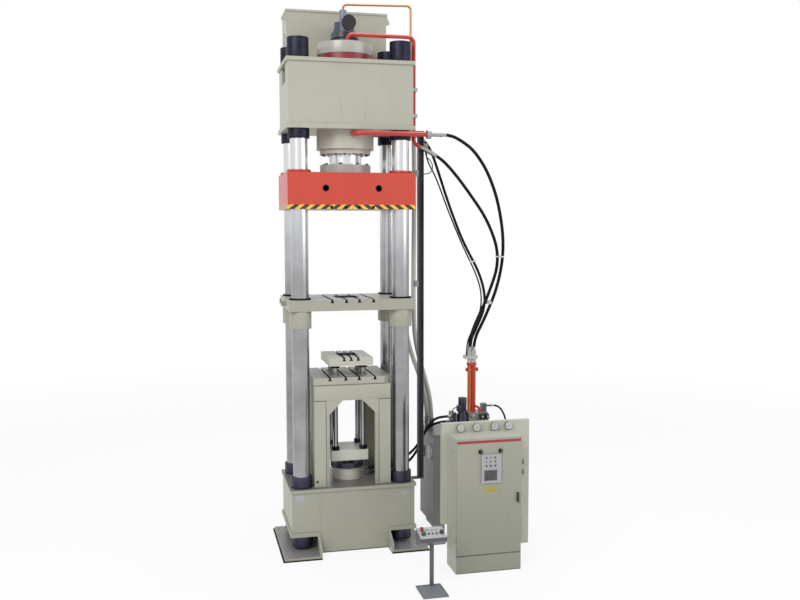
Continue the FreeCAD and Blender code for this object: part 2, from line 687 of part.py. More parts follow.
def base_frame():
    """Welded base: a box on two feet, with toes that reach out in front."""
    under_top = BASE_HEIGHT - BASE_TOP_PLATE
    ledge_top = LEDGE_BOTTOM + LEDGE_PLATE
    wall_x, wall_y = BASE_HALF_X - BASE_LIP, BASE_HALF_Y - BASE_LIP
    web_outer = FOOT_INNER_X + BASE_WALL
    steel = [slab(BASE_HALF_X, BASE_HALF_Y, under_top, BASE_HEIGHT),
             slab(BASE_HALF_X, BASE_HALF_Y, LEDGE_BOTTOM, ledge_top)]
    for side in (-1, 1):
        steel.append(mirrored_block(side, wall_x - BASE_WALL, wall_x, -wall_y, wall_y, ledge_top, under_top))
        steel.append(mirrored_block(side, FOOT_INNER_X, FOOT_OUTER_X, -FOOT_FRONT_Y, BASE_HALF_Y, 0, FOOT_PLATE))
        toe = ((-FOOT_FRONT_Y, FOOT_PLATE), (-FOOT_FRONT_Y, TOE_HEIGHT), (-BASE_HALF_Y, LEDGE_BOTTOM),
               (-wall_y, ledge_top), (-wall_y, under_top), (wall_y, under_top), (wall_y, FOOT_PLATE))
        steel.append(plate_yz(toe, *sorted((side * FOOT_INNER_X, side * web_outer))))
        rib_y = side * BASE_RIB_Y
        steel.append(block(-wall_x, wall_x, rib_y - BASE_WALL / 2, rib_y + BASE_WALL / 2, ledge_top, under_top))
        front = sorted((side * wall_y, side * (wall_y - BASE_WALL)))
        steel.append(block(-wall_x, wall_x, *front, ledge_top, under_top))
        steel.append(block(-FOOT_INNER_X, FOOT_INNER_X, *front, 0, ledge_top))
    steel += at_columns(lambda x, y: post(COLUMN_HOLE + BASE_TUBE_WALL, ledge_top, under_top, x, y))
    cuts = at_columns(lambda x, y: column_hole(LEDGE_BOTTOM, BASE_HEIGHT, x, y))
    cuts.append(rod(EJECTOR_RADIUS + SEAT_GAP, under_top, BASE_HEIGHT))
    cuts.append(slab(FOOT_INNER_X, wall_y - BASE_WALL, LEDGE_BOTTOM, ledge_top))
    cuts += [rod(ANCHOR_HOLE_RADIUS, 0, FOOT_PLATE, x, y)
             for x in (-ANCHOR_X, ANCHOR_X) for y in (-ANCHOR_Y, ANCHOR_Y)]
    return weld(steel).cut(cuts)


def arch_outline(half_width, arch_width, spring, rise, arch_top):
    """Outline of a wall of the work table, with its arch left open, as (across, height)."""
    foot, head = BASE_HEIGHT, TABLE_TOP - TABLE_PLATE
    right = [(arch_top, foot + spring + rise), (arch_width, foot + spring), (arch_width, foot),
             (half_width, foot), (half_width, head)]
    return [(-across, z) for across, z in reversed(right)] + right


def work_table():
    """Slotted work table: a thick plate on four arched walls."""
    wall_x, wall_y = TABLE_HALF_X - TABLE_WALL_INSET, TABLE_HALF_Y - TABLE_WALL_INSET
    front = arch_outline(wall_x, ARCH_HALF_WIDTH, ARCH_SPRING, ARCH_RISE, ARCH_HALF_TOP)
    side = arch_outline(wall_y, SIDE_ARCH_HALF_WIDTH, SIDE_ARCH_SPRING, SIDE_ARCH_RISE, SIDE_ARCH_HALF_TOP)
    cut_x, cut_y = TABLE_HALF_X - TABLE_CORNER_CUT, TABLE_HALF_Y - TABLE_CORNER_CUT
    top = ((-TABLE_HALF_X, -TABLE_HALF_Y), (cut_x, -TABLE_HALF_Y), (TABLE_HALF_X, -cut_y),
           (TABLE_HALF_X, TABLE_HALF_Y), (-TABLE_HALF_X, TABLE_HALF_Y))
    steel = [plate_xy(top, TABLE_TOP - TABLE_PLATE, TABLE_TOP),
             plate_xz(front, -wall_y, TABLE_WALL - wall_y), plate_xz(front, wall_y - TABLE_WALL, wall_y),
             plate_yz(side, -wall_x, TABLE_WALL - wall_x), plate_yz(side, wall_x - TABLE_WALL, wall_x)]
    cuts = clamp_slots(TABLE_SLOTS, TABLE_HALF_Y, TABLE_TOP, -1)
    bush_hole = ROD_RADIUS + RUNNING_GAP + ROD_BUSH_WALL + SEAT_GAP
    cuts += at_rods(lambda x, y: prism(NUT_SIDES, bush_hole, (x, y, TABLE_TOP - TABLE_PLATE), (x, y, TABLE_TOP)))
    drain_x, drain_height, drain_radius = TABLE_DRAIN
    drain_z = BASE_HEIGHT + drain_height
    cuts.append(bar(drain_radius, (drain_x, -wall_y, drain_z), (drain_x, TABLE_WALL - wall_y, drain_z)))
    return weld(steel).cut(cuts)


def crown_frame():
    """Welded crown: a box that carries the main cylinder, with a window in each side."""
    under_top, over_bottom = CROWN_TOP - CROWN_TOP_PLATE, CROWN_BOTTOM + CROWN_BOTTOM_PLATE
    wall_x, wall_y = CROWN_HALF_X - CROWN_LIP, CROWN_HALF_Y - CROWN_LIP
    core = CYLINDER_RADIUS + SEAT_GAP
    steel = [slab(CROWN_HALF_X, CROWN_HALF_Y, under_top, CROWN_TOP),
             slab(CROWN_HALF_X, CROWN_HALF_Y, CROWN_BOTTOM, over_bottom),
             rod(core + CROWN_CORE_WALL, over_bottom, under_top)]
    for side in (-1, 1):
        walls = sorted((side * wall_y, side * (wall_y - CROWN_WALL)))
        steel.append(block(-wall_x, wall_x, *walls, over_bottom, under_top))
        steel.append(mirrored_block(side, wall_x - CROWN_WALL, wall_x, -wall_y, wall_y, over_bottom, under_top))
        steel.append(mirrored_block(side, CROWN_RIB_X, CROWN_RIB_X + CROWN_WALL, -wall_y, wall_y,
                                    over_bottom, under_top))
    steel += at_columns(lambda x, y: post(COLUMN_HOLE + CROWN_TUBE_WALL, over_bottom, under_top, x, y))
    cuts = at_columns(lambda x, y: column_hole(CROWN_BOTTOM, CROWN_TOP, x, y))
    cuts.append(rod(core, CROWN_BOTTOM, CROWN_TOP))
    cuts.append(slab(CROWN_HALF_X, CROWN_WINDOW_HALF_Y, under_top - CROWN_WINDOW_HEIGHT, under_top)
                .cut(rod(core + CROWN_CORE_WALL, over_bottom, under_top)))
    return weld(steel).cut(cuts)


# ---------------------------------------------------------------- main cylinder and ram

def main_cylinder():
    """Forged cylinder that hangs from the crown by its shoulder, bored from below."""
    bore_top = CROWN_TOP + CYLINDER_BORE_ABOVE_CROWN
    return turned(((CYLINDER_BORE, CYLINDER_FOOT), (CYLINDER_SHOULDER_RADIUS, CYLINDER_FOOT),
                   (CYLINDER_SHOULDER_RADIUS, CROWN_BOTTOM), (CYLINDER_RADIUS, CROWN_BOTTOM),
                   (CYLINDER_RADIUS, CYLINDER_TOP), (0, CYLINDER_TOP), (0, bore_top),
                   (CYLINDER_BORE, bore_top)))


def cylinder_lock_nut():
    """Ring nut that clamps the cylinder down on the crown."""
    return ring(RING_NUT_RADIUS, CYLINDER_RADIUS + SEAT_GAP, CROWN_TOP, CYLINDER_TOP)


def cylinder_cap():
    """Flange that closes the cylinder's upper end."""
    return turned(((0, CYLINDER_TOP), (CYLINDER_CAP_RADIUS, CYLINDER_TOP),
                   (CYLINDER_CAP_RADIUS, CAP_TOP - CYLINDER_CAP_CHAMFER),
                   (CYLINDER_CAP_RADIUS - CYLINDER_CAP_CHAMFER, CAP_TOP), (0, CAP_TOP)))


def cylinder_glands():
    """Gland rings of the main cylinder and of the ejector."""
    return solids([
        ring(GLAND_RADIUS, RAM_BORE, CYLINDER_FOOT - GLAND_HEIGHT, CYLINDER_FOOT),
        ring(EJECTOR_GLAND_RADIUS, EJECTOR_RAM_RADIUS + RUNNING_GAP, EJECTOR_HEAD_TOP,
             EJECTOR_HEAD_TOP + EJECTOR_GLAND_HEIGHT)])


def main_ram():
    """Ram with a piston head in the cylinder and a collar in the flange on the slide."""
    foot, head = SLIDE_TOP, CROWN_TOP - RAM_HEAD_BELOW_CROWN_TOP
    return turned(((0, foot), (RAM_COLLAR_RADIUS, foot), (RAM_COLLAR_RADIUS, foot + RAM_COLLAR_HEIGHT),
                   (RAM_RADIUS, foot + RAM_COLLAR_HEIGHT), (RAM_RADIUS, head - RAM_HEAD_HEIGHT),
                   (RAM_HEAD_RADIUS, head - RAM_HEAD_HEIGHT), (RAM_HEAD_RADIUS, head), (0, head)))


def ram_flange():
    """Split flange, with its bolt heads, that holds the ram's collar down on the slide."""
    top = SLIDE_TOP + RAM_FLANGE_HEIGHT
    neck, pocket = RAM_RADIUS + SEAT_GAP, RAM_COLLAR_RADIUS + SEAT_GAP
    step = SLIDE_TOP + RAM_COLLAR_HEIGHT + SEAT_GAP
    flange = turned(((pocket, SLIDE_TOP), (RAM_FLANGE_RADIUS, SLIDE_TOP), (RAM_FLANGE_RADIUS, top),
                     (neck, top), (neck, step), (pocket, step)))
    heads = []
    for i in range(FLANGE_BOLT_COUNT):
        turn = 2 * math.pi * (i + 0.5) / FLANGE_BOLT_COUNT
        place = Vector(FLANGE_BOLT_CIRCLE * math.cos(turn), FLANGE_BOLT_CIRCLE * math.sin(turn), top)
        heads.append(polygon_face(HEX_SIDES, FLANGE_BOLT_HEAD, place, UP).extrude(UP * FLANGE_BOLT_HEAD))
    return flange.multiFuse(heads)


def prefill_valve():
    """Prefill valve on the cylinder's cap, its pilot cylinder and the suction pipe to the tank."""
    valve = turned(((0, CAP_TOP), (VALVE_NECK_RADIUS, CAP_TOP), (VALVE_NECK_RADIUS, SUCTION_TOP),
                    (VALVE_FLANGE_RADIUS, SUCTION_TOP), (VALVE_FLANGE_RADIUS, VALVE_FLANGE_TOP),
                    (VALVE_BODY_RADIUS, VALVE_FLANGE_TOP), (VALVE_BODY_RADIUS, VALVE_TOP), (0, VALVE_TOP)))
    pilot = prism(ROUND_SIDES, PILOT_RADIUS, (PILOT_X, 0, VALVE_TOP), (PILOT_X, 0, PILOT_TOP))
    suction = bar(SUCTION_RADIUS, (SUCTION_X, SUCTION_FRONT, SUCTION_Z), (SUCTION_X, TANK_FRONT, SUCTION_Z))
    cap = prism(NUT_SIDES, SUCTION_RADIUS, (SUCTION_X, SUCTION_FRONT - SUCTION_CAP, SUCTION_Z),
                (SUCTION_X, SUCTION_FRONT, SUCTION_Z))
    return solids([valve.multiFuse([pilot, suction]), cap])


def overhead_tank():
    """Overhead oil tank on two beams, with a rim and a lug at each front corner."""
    top = TANK_BOTTOM + TANK_HEIGHT
    rim_x, rim_front, rim_back = TANK_HALF_X + TANK_RIM / 2, TANK_FRONT - TANK_RIM / 2, TANK_BACK + TANK_RIM / 2
    body = block(-TANK_HALF_X, TANK_HALF_X, TANK_FRONT, TANK_BACK, TANK_BOTTOM, top)
    room = block(TANK_WALL - TANK_HALF_X, TANK_HALF_X - TANK_WALL, TANK_FRONT + TANK_WALL,
                 TANK_BACK - TANK_WALL, TANK_BOTTOM + TANK_WALL, top - TANK_WALL)
    steel = [body, block(-rim_x, rim_x, rim_front, rim_back, top - TANK_RIM, top)]
    for side in (-1, 1):
        steel.append(mirrored_block(side, BEAM_X - BEAM_WIDTH / 2, BEAM_X + BEAM_WIDTH / 2, BEAM_FRONT,
                                    TANK_BACK, CROWN_TOP, TANK_BOTTOM))
        lug = [(side * x, z) for x, z in ((TANK_HALF_X, top), (TANK_HALF_X + TANK_LUG, top - 2.5 * TANK_LUG),
                                          (TANK_HALF_X, top - 3 * TANK_LUG))]
        steel.append(plate_xz(lug, TANK_FRONT, TANK_FRONT + TANK_RIM))
    stubs = [prism(PIPE_SIDES, diameter / 2, (TANK_HALF_X, *points[0][1:]), points[0])
             for diameter, points in RETURN_HOSES]
    return weld(steel).cut(room).multiFuse(stubs)


# ---------------------------------------------------------------- rigid pipes and fittings

def top_pressure_pipe():
    """Pressure pipe from the cylinder cap over the crown and down its right side."""
    foot_z = CROWN_BOTTOM - SIDE_PIPE_DROP
    points = ((PILOT_X, TOP_PIPE_Y, CAP_TOP), (PILOT_X, TOP_PIPE_Y, TOP_PIPE_Z),
              (SIDE_PIPE_X, TOP_PIPE_Y, TOP_PIPE_Z), (SIDE_PIPE_X, TOP_PIPE_Y, foot_z),
              (SIDE_PIPE_X + SIDE_PIPE_REACH, TOP_PIPE_Y, foot_z - SIDE_PIPE_REACH / 2))
    return run_along(points, TOP_PIPE_DIAMETER, PIPE_SIDES, TOP_PIPE_BEND)[0]


def pilot_pipe():
    """Thin pipe from the pilot cylinder of the prefill valve down the crown's right side."""
    points = ((PILOT_X, 0, PILOT_TOP), (PILOT_X, 0, PILOT_PIPE_Z), (SIDE_PIPE_X, PILOT_PIPE_Y, PILOT_PIPE_Z),
              (SIDE_PIPE_X, PILOT_PIPE_Y, CROWN_BOTTOM + CROWN_BOTTOM_PLATE))
    return run_along(points, PILOT_PIPE_DIAMETER, PIPE_SIDES, PILOT_PIPE_BEND)[0]


def lower_pressure_pipe():
    """Pressure pipe from the front of the cylinder, round to the right under the crown."""
    port = (LOWER_PIPE_X, -CYLINDER_SHOULDER_RADIUS - SEAT_GAP, LOWER_PIPE_Z)
    points = (port, (LOWER_PIPE_X, LOWER_PIPE_Y, LOWER_PIPE_Z), (LOWER_PIPE_END, LOWER_PIPE_Y, LOWER_PIPE_Z))
    return run_along(points, LOWER_PIPE_DIAMETER, PIPE_SIDES, LOWER_PIPE_BEND)[0]


def pipe_clamps():
    """Clamps on the crown's right side that hold the two pipes there."""
    made = []
    for rise in CLAMP_RISES:
        z = CROWN_BOTTOM + rise
        body = block(CROWN_HALF_X - CROWN_LIP, SIDE_PIPE_X + TOP_PIPE_DIAMETER / 2 + CLAMP_WALL,
                     TOP_PIPE_Y - TOP_PIPE_DIAMETER, PILOT_PIPE_Y + PILOT_PIPE_DIAMETER, z, z + CLAMP_HEIGHT)
        holes = [post(diameter / 2 + SEAT_GAP, z, z + CLAMP_HEIGHT, SIDE_PIPE_X, y)
                 for diameter, y in ((TOP_PIPE_DIAMETER, TOP_PIPE_Y), (PILOT_PIPE_DIAMETER, PILOT_PIPE_Y))]
        made.append(body.cut(holes))
    return made


def ejector_port(diameter, points):
    """Stub on the ejector's head that a hose ends on, clear of the round wall all across."""
    x, y, z = points[-1]
    nearest = max(0.0, abs(y) - diameter / 2)
    wall = math.sqrt(EJECTOR_HEAD_RADIUS ** 2 - nearest ** 2) + SEAT_GAP
    return prism(HOSE_SIDES, diameter / 2, (wall, y, z), (x, y, z))


def hose_fittings():
    """Unions and steel ends between the rigid pipes and the hoses, with the pipe clamps."""
    upper, middle, lower = (points[0] for _, points in MAIN_HOSES)
    union_end = (LOWER_PIPE_END + UNION_LENGTH, LOWER_PIPE_Y, LOWER_PIPE_Z)
    union = weld([bar(UNION_RADIUS, (LOWER_PIPE_END, LOWER_PIPE_Y, LOWER_PIPE_Z), union_end),
                  prism(HEX_SIDES, FITTING_RADIUS, union_end, upper)])
    pipe_end = (SIDE_PIPE_X + SIDE_PIPE_REACH, TOP_PIPE_Y, CROWN_BOTTOM - SIDE_PIPE_DROP - SIDE_PIPE_REACH / 2)
    x, y, z = lower
    cross = ((CYLINDER_SHOULDER_RADIUS + SEAT_GAP, y, CROSS_PIPE_Z), (CROSS_PIPE_CORNER, y, CROSS_PIPE_Z), (x, y, z))
    fittings = [union, prism(HEX_SIDES, FITTING_RADIUS, pipe_end, middle),
                run_along(cross, MAIN_HOSES[2][0], PIPE_SIDES, CROSS_PIPE_BEND)[0]]
    fittings += [ejector_port(diameter, points) for diameter, points in EJECTOR_HOSES]
    for diameter, points in RETURN_HOSES:
        x, y, z = points[-1]
        fittings.append(prism(PIPE_SIDES, diameter / 2, (x, y, OIL_TANK_TOP), (x, y, z)))
    return solids(fittings + pipe_clamps())


# ---------------------------------------------------------------- limit switches

def switch_rail():
    """Upright channel beside the press that carries the limit switches."""
    half = RAIL_WIDTH / 2
    rail = block(RAIL_X - half, RAIL_X + half, RAIL_Y - half, RAIL_Y + half, RAIL_FOOT, CROWN_BOTTOM)
    groove = block(RAIL_X - half + RAIL_WALL, RAIL_X + half - RAIL_WALL, RAIL_Y - half,
                   RAIL_Y + half - RAIL_WALL, RAIL_FOOT, CROWN_BOTTOM)
    wall_x = BASE_HALF_X - BASE_LIP
    foot = block(BASE_HALF_X, RAIL_X + half, RAIL_Y - half, RAIL_Y + half, RAIL_FOOT - RAIL_BRACKET_PLATE, RAIL_FOOT)
    heel = block(wall_x, BASE_HALF_X, RAIL_Y - half, RAIL_Y + half, RAIL_FOOT - RAIL_BRACKET_DEPTH,
                 BASE_HEIGHT - BASE_TOP_PLATE)
    web = block(BASE_HALF_X, BASE_HALF_X + RAIL_BRACKET_PLATE, RAIL_Y - half, RAIL_Y + half,
                RAIL_FOOT - RAIL_BRACKET_DEPTH, RAIL_FOOT)
    head = block(CROWN_HALF_X, RAIL_X + half, RAIL_Y - half, RAIL_Y + half, CROWN_BOTTOM,
                 CROWN_BOTTOM + RAIL_BRACKET_PLATE)
    return weld([rail.cut(groove), foot, heel, web, head])


def limit_switches():
    """Two limit switches and a cable box on the rail."""
    half = RAIL_WIDTH / 2
    parts = []
    for z in SWITCH_HEIGHTS:
        body = block(RAIL_X - half - SWITCH_REACH, RAIL_X - half, RAIL_Y - half, RAIL_Y + half / 2,
                     z - SWITCH_HEIGHT / 2, z + SWITCH_HEIGHT / 2)
        roller_x = RAIL_X - half - SWITCH_REACH / 2
        roller = prism(ROUND_SIDES, SWITCH_ROLLER, (roller_x, RAIL_Y - half - SWITCH_ROLLER, z),
                       (roller_x, RAIL_Y - half, z))
        parts.append(weld([body, roller]))
    parts.append(block(RAIL_X + half, RAIL_X + half + CABLE_BOX_DEPTH, RAIL_Y - half, RAIL_Y + half + SWITCH_ROLLER,
                       CABLE_BOX_BOTTOM, CABLE_BOX_BOTTOM + SWITCH_HEIGHT))
    return solids(parts)


# ---------------------------------------------------------------- slide and platen

def slide_frame():
    """Welded slide: a hollow beam with slots below, tubes for the columns and a striker."""
    over_bottom, under_top = SLIDE_BOTTOM + SLIDE_BOTTOM_PLATE, SLIDE_TOP - SLIDE_TOP_PLATE
    steel = [slab(SLIDE_HALF_X, SLIDE_HALF_Y, SLIDE_BOTTOM, SLIDE_TOP)
             .cut(slab(SLIDE_HALF_X - SLIDE_WALL, SLIDE_HALF_Y - SLIDE_WALL, over_bottom, under_top))]
    for side in (-1, 1):
        steel.append(mirrored_block(side, SLIDE_RIB_X, SLIDE_RIB_X + SLIDE_WALL, -SLIDE_HALF_Y, SLIDE_HALF_Y,
                                    over_bottom, under_top))
        cross = sorted((side * SLIDE_RIB_Y, side * (SLIDE_RIB_Y + SLIDE_WALL)))
        steel.append(block(-SLIDE_RIB_X, SLIDE_RIB_X, *cross, over_bottom, under_top))
    steel += at_columns(lambda x, y: post(COLUMN_BORE + SLIDE_WALL, over_bottom, under_top, x, y))
    striker_y = RAIL_Y - RAIL_WIDTH / 2
    steel.append(block(SLIDE_HALF_X, SLIDE_HALF_X + STRIKER_REACH, striker_y, striker_y + RAIL_WIDTH,
                       SLIDE_TOP - STRIKER_HEIGHT, SLIDE_TOP - SLIDE_TOP_PLATE))
    cuts = at_columns(lambda x, y: rod(COLUMN_BORE, SLIDE_BOTTOM, SLIDE_TOP, x, y))
    cuts += clamp_slots(BEAM_SLOTS, SLIDE_HALF_Y, SLIDE_BOTTOM, 1)
    hole_z = SLIDE_BOTTOM + SLIDE_HOLE_HEIGHT
    for x in (-SLIDE_HOLE_X, SLIDE_HOLE_X):
        cuts.append(bar(SLIDE_HOLE_RADIUS, (x, -SLIDE_HALF_Y, hole_z), (x, SLIDE_WALL - SLIDE_HALF_Y, hole_z)))
        cuts.append(bar(SLIDE_HOLE_RADIUS, (x, SLIDE_HALF_Y - SLIDE_WALL, hole_z), (x, SLIDE_HALF_Y, hole_z)))
    return weld(steel).cut(cuts)


def slide_bushes():
    """Flanged guide rings on top of the slide, one round each column."""
    return solids(at_columns(lambda x, y: sleeve(BUSH_RADIUS, COLUMN_BORE, SLIDE_TOP, SLIDE_TOP + BUSH_HEIGHT,
                                                 x, y)))


def middle_platen():
    """Thick slotted plate between the slide and the table, with a window in its middle."""
    plate = slab(PLATEN_HALF_X, PLATEN_HALF_Y, PLATEN_BOTTOM, PLATEN_TOP)
    cuts = at_columns(lambda x, y: rod(COLUMN_BORE, PLATEN_BOTTOM, PLATEN_TOP, x, y))
    cuts.append(slab(PLATEN_HOLE_HALF_X, PLATEN_HOLE_HALF_Y, PLATEN_BOTTOM, PLATEN_TOP))
    return plate.cut(cuts + clamp_slots(BEAM_SLOTS, PLATEN_HALF_Y, PLATEN_TOP, -1))


def platen_guides():
    """Guide sleeves under the platen."""
    return solids(at_columns(lambda x, y: sleeve(GUIDE_RADIUS, COLUMN_BORE, PLATEN_BOTTOM - GUIDE_LENGTH,
                                                 PLATEN_BOTTOM, x, y)))


def platen_wipers():
    """Wiper rings round the columns on top of the platen."""
    return solids(at_columns(lambda x, y: sleeve(WIPER_RADIUS, COLUMN_BORE, PLATEN_TOP,
                                                 PLATEN_TOP + WIPER_HEIGHT, x, y)))


# ---------------------------------------------------------------- ejector

def at_rods(make):
    """The same thing at each of the four lift rods."""
    return [make(x, y) for x in (-ROD_SPACING, ROD_SPACING) for y in (-ROD_SPACING, ROD_SPACING)]


def rod_bushes():
    """Bronze bushes in the work table that guide the lift rods."""
    bore = ROD_RADIUS + RUNNING_GAP
    return solids(at_rods(lambda x, y: sleeve(bore + ROD_BUSH_WALL, bore, TABLE_TOP - TABLE_PLATE,
                                              TABLE_TOP + ROD_BUSH_PROUD, x, y)))


def ejector_cylinder():
    """Ejector cylinder that hangs through the top of the base by its head."""
    floor = EJECTOR_FOOT + EJECTOR_FLOOR
    return turned(((0, EJECTOR_FOOT), (EJECTOR_RADIUS, EJECTOR_FOOT), (EJECTOR_RADIUS, BASE_HEIGHT),
                   (EJECTOR_HEAD_RADIUS, BASE_HEIGHT), (EJECTOR_HEAD_RADIUS, EJECTOR_HEAD_TOP),
                   (EJECTOR_BORE, EJECTOR_HEAD_TOP), (EJECTOR_BORE, floor), (0, floor)))


def ejector_ram():
    """Ejector ram with its piston, which rests near the cylinder's floor."""
    foot = EJECTOR_FOOT + EJECTOR_FLOOR + SEAT_GAP
    piston, head = EJECTOR_RAM_RADIUS + EJECTOR_PISTON_WALL, foot + EJECTOR_PISTON_HEIGHT
    return turned(((0, foot), (piston, foot), (piston, head), (EJECTOR_RAM_RADIUS, head),
                   (EJECTOR_RAM_RADIUS, LIFT_PLATE_BOTTOM), (0, LIFT_PLATE_BOTTOM)))


def ejector_lower_plate():
    """Plate on the ejector ram that the four lift rods stand on."""
    return slab(LIFT_PLATE_HALF_X, LIFT_PLATE_HALF_Y, LIFT_PLATE_BOTTOM, LIFT_PLATE_TOP)


def lift_rods():
    """Four rods between the ejector's lower plate and its table."""
    return solids(at_rods(lambda x, y: rod(ROD_RADIUS, LIFT_PLATE_TOP, EJECTOR_TABLE_BOTTOM, x, y)))


def rod_collars():
    """Nuts at the foot of the lift rods and collars under the ejector table."""
    inner = ROD_RADIUS + SEAT_GAP
    nuts = at_rods(lambda x, y: collar(HEX_SIDES, ROD_NUT_RADIUS, inner, LIFT_PLATE_TOP,
                                       LIFT_PLATE_TOP + ROD_NUT_HEIGHT, x, y))
    collars = at_rods(lambda x, y: collar(ROUND_SIDES, COLLAR_RADIUS, inner, EJECTOR_TABLE_BOTTOM - COLLAR_HEIGHT,
                                          EJECTOR_TABLE_BOTTOM, x, y))
    return solids(nuts + collars)


def ejector_table():
    """Slotted lift-out table on top of the rods."""
    plate = slab(EJECTOR_TABLE_HALF_X, EJECTOR_TABLE_HALF_Y, EJECTOR_TABLE_BOTTOM, EJECTOR_TABLE_TOP)
    hole = slab(EJECTOR_TABLE_HOLE_X, EJECTOR_TABLE_HOLE_Y, EJECTOR_TABLE_BOTTOM, EJECTOR_TABLE_TOP)
    return plate.cut([hole] + clamp_slots(EJECTOR_TABLE_SLOTS, EJECTOR_TABLE_HALF_Y, EJECTOR_TABLE_TOP, -1))


# ---------------------------------------------------------------- power unit

def sheet_box(x0, x1, y0, y1, z0, z1, sheet):
    """A closed sheet-metal housing."""
    inside = block(x0 + sheet, x1 - sheet, y0 + sheet, y1 - sheet, z0 + sheet, z1 - sheet)
    return block(x0, x1, y0, y1, z0, z1).cut(inside)


def oil_tank():
    """Oil tank of the power unit on two channel feet, with a rim round its top."""
    half_rim = OIL_TANK_RIM / 2
    tank = sheet_box(OIL_TANK_LEFT, OIL_TANK_RIGHT, OIL_TANK_FRONT, OIL_TANK_BACK, OIL_TANK_FEET,
                     OIL_TANK_TOP, OIL_TANK_WALL)
    rim_outer = block(OIL_TANK_LEFT - half_rim, OIL_TANK_RIGHT + half_rim, OIL_TANK_FRONT - half_rim,
                      OIL_TANK_BACK + half_rim, OIL_TANK_TOP - OIL_TANK_RIM, OIL_TANK_TOP)
    rim = rim_outer.cut(block(OIL_TANK_LEFT, OIL_TANK_RIGHT, OIL_TANK_FRONT, OIL_TANK_BACK,
                              OIL_TANK_TOP - OIL_TANK_RIM, OIL_TANK_TOP))
    feet = [block(x, x + FOOT_CHANNEL, OIL_TANK_FRONT, OIL_TANK_BACK, 0, OIL_TANK_FEET)
            for x in (OIL_TANK_LEFT + FOOT_CHANNEL, OIL_TANK_RIGHT - 2 * FOOT_CHANNEL)]
    return weld([tank, rim] + feet)


def pump_motor():
    """Upright motor with the pump's bell housing under it."""
    base_top, top = OIL_TANK_TOP + MOTOR_BASE_HEIGHT, OIL_TANK_TOP + MOTOR_HEIGHT
    return turned(((0, OIL_TANK_TOP), (MOTOR_BASE_RADIUS, OIL_TANK_TOP), (MOTOR_BASE_RADIUS, base_top),
                   (MOTOR_RADIUS, base_top), (MOTOR_RADIUS, top), (0, top)), MOTOR_X, MOTOR_Y)


def valve_manifold():
    """Main manifold with its valves, the ejector's valve block and the return filter."""
    top = OIL_TANK_TOP + MANIFOLD_HEIGHT
    main = [block(MANIFOLD_LEFT, MANIFOLD_RIGHT, MANIFOLD_FRONT, MANIFOLD_BACK, OIL_TANK_TOP, top)]
    for x in MANIFOLD_VALVES:
        main.append(block(x, x + MANIFOLD_VALVE_SIZE, MANIFOLD_FRONT - MANIFOLD_VALVE_SIZE, MANIFOLD_FRONT,
                          top - 2 * MANIFOLD_VALVE_HEIGHT, top - MANIFOLD_VALVE_HEIGHT))
    start = DRAIN_HOSE[1][0]
    drain_half = DRAIN_BLOCK / 2
    main.append(block(MANIFOLD_RIGHT - DRAIN_BLOCK, MANIFOLD_RIGHT, start[1] - drain_half, start[1] + drain_half,
                      top, start[2] + drain_half))
    main.append(bar(DRAIN_HOSE[0] / 2, (MANIFOLD_RIGHT, start[1], start[2]), start))
    side = block(SIDE_BLOCK_LEFT, MOTOR_X - MOTOR_BASE_RADIUS - SEAT_GAP, SIDE_BLOCK_FRONT, SIDE_BLOCK_BACK,
                 OIL_TANK_TOP, OIL_TANK_TOP + SIDE_BLOCK_HEIGHT)
    x, y, z = DRAIN_HOSE[1][-1]
    filter_block = block(OIL_TANK_RIGHT, FILTER_RIGHT, y - drain_half, y + drain_half, z - FILTER_HEIGHT, z)
    rim = block(OIL_TANK_RIGHT, OIL_TANK_RIGHT + OIL_TANK_RIM, y - DRAIN_BLOCK, y + DRAIN_BLOCK,
                OIL_TANK_TOP - OIL_TANK_RIM, z)
    return solids([weld(main), side, filter_block.cut(rim)])


def riser_pipes():
    """Pipes that rise from the manifold, and the header that joins them to the hoses."""
    bottom = OIL_TANK_TOP + MANIFOLD_HEIGHT
    pipes = [rod(radius, bottom, RISER_TOP, x, y) for x, y, radius in RISERS]
    sleeves = [prism(HEX_SIDES, radius + SLEEVE_WALL, (x, y, RISER_TOP), (x, y, SLEEVE_TOP)) for x, y, radius in RISERS]
    header = block(HEADER_LEFT, HEADER_RIGHT, HEADER_FRONT, HEADER_BACK, HEADER_BOTTOM, HEADER_TOP)
    return solids(pipes + [weld([header] + sleeves)])


# ---------------------------------------------------------------- cabinets

def gauge_cabinet():
    """Shallow cabinet behind the electrical one, with a cable duct down its right end."""
    body = sheet_box(GAUGE_BOX_LEFT, GAUGE_BOX_RIGHT, CABINET_BACK, GAUGE_BOX_BACK, GAUGE_BOX_BOTTOM,
                     GAUGE_BOX_TOP, CABINET_SHEET)
    duct = block(GAUGE_BOX_RIGHT - DUCT_WIDTH, GAUGE_BOX_RIGHT, CABINET_BACK, GAUGE_BOX_BACK, DUCT_BOTTOM,
                 GAUGE_BOX_BOTTOM)
    return weld([body, duct])


def pressure_gauges():
    """Four round gauges in a row above the cabinet."""
    front = CABINET_BACK - GAUGE_DEPTH
    return solids([prism(NUT_SIDES, GAUGE_RADIUS, (x, front, GAUGE_Z), (x, CABINET_BACK, GAUGE_Z))
                   for x in GAUGE_X])


def hinge_levels():
    """Heights of the door's two hinges."""
    return DOOR_BOTTOM + HINGE_INSET, CABINET_HEIGHT - HINGE_INSET


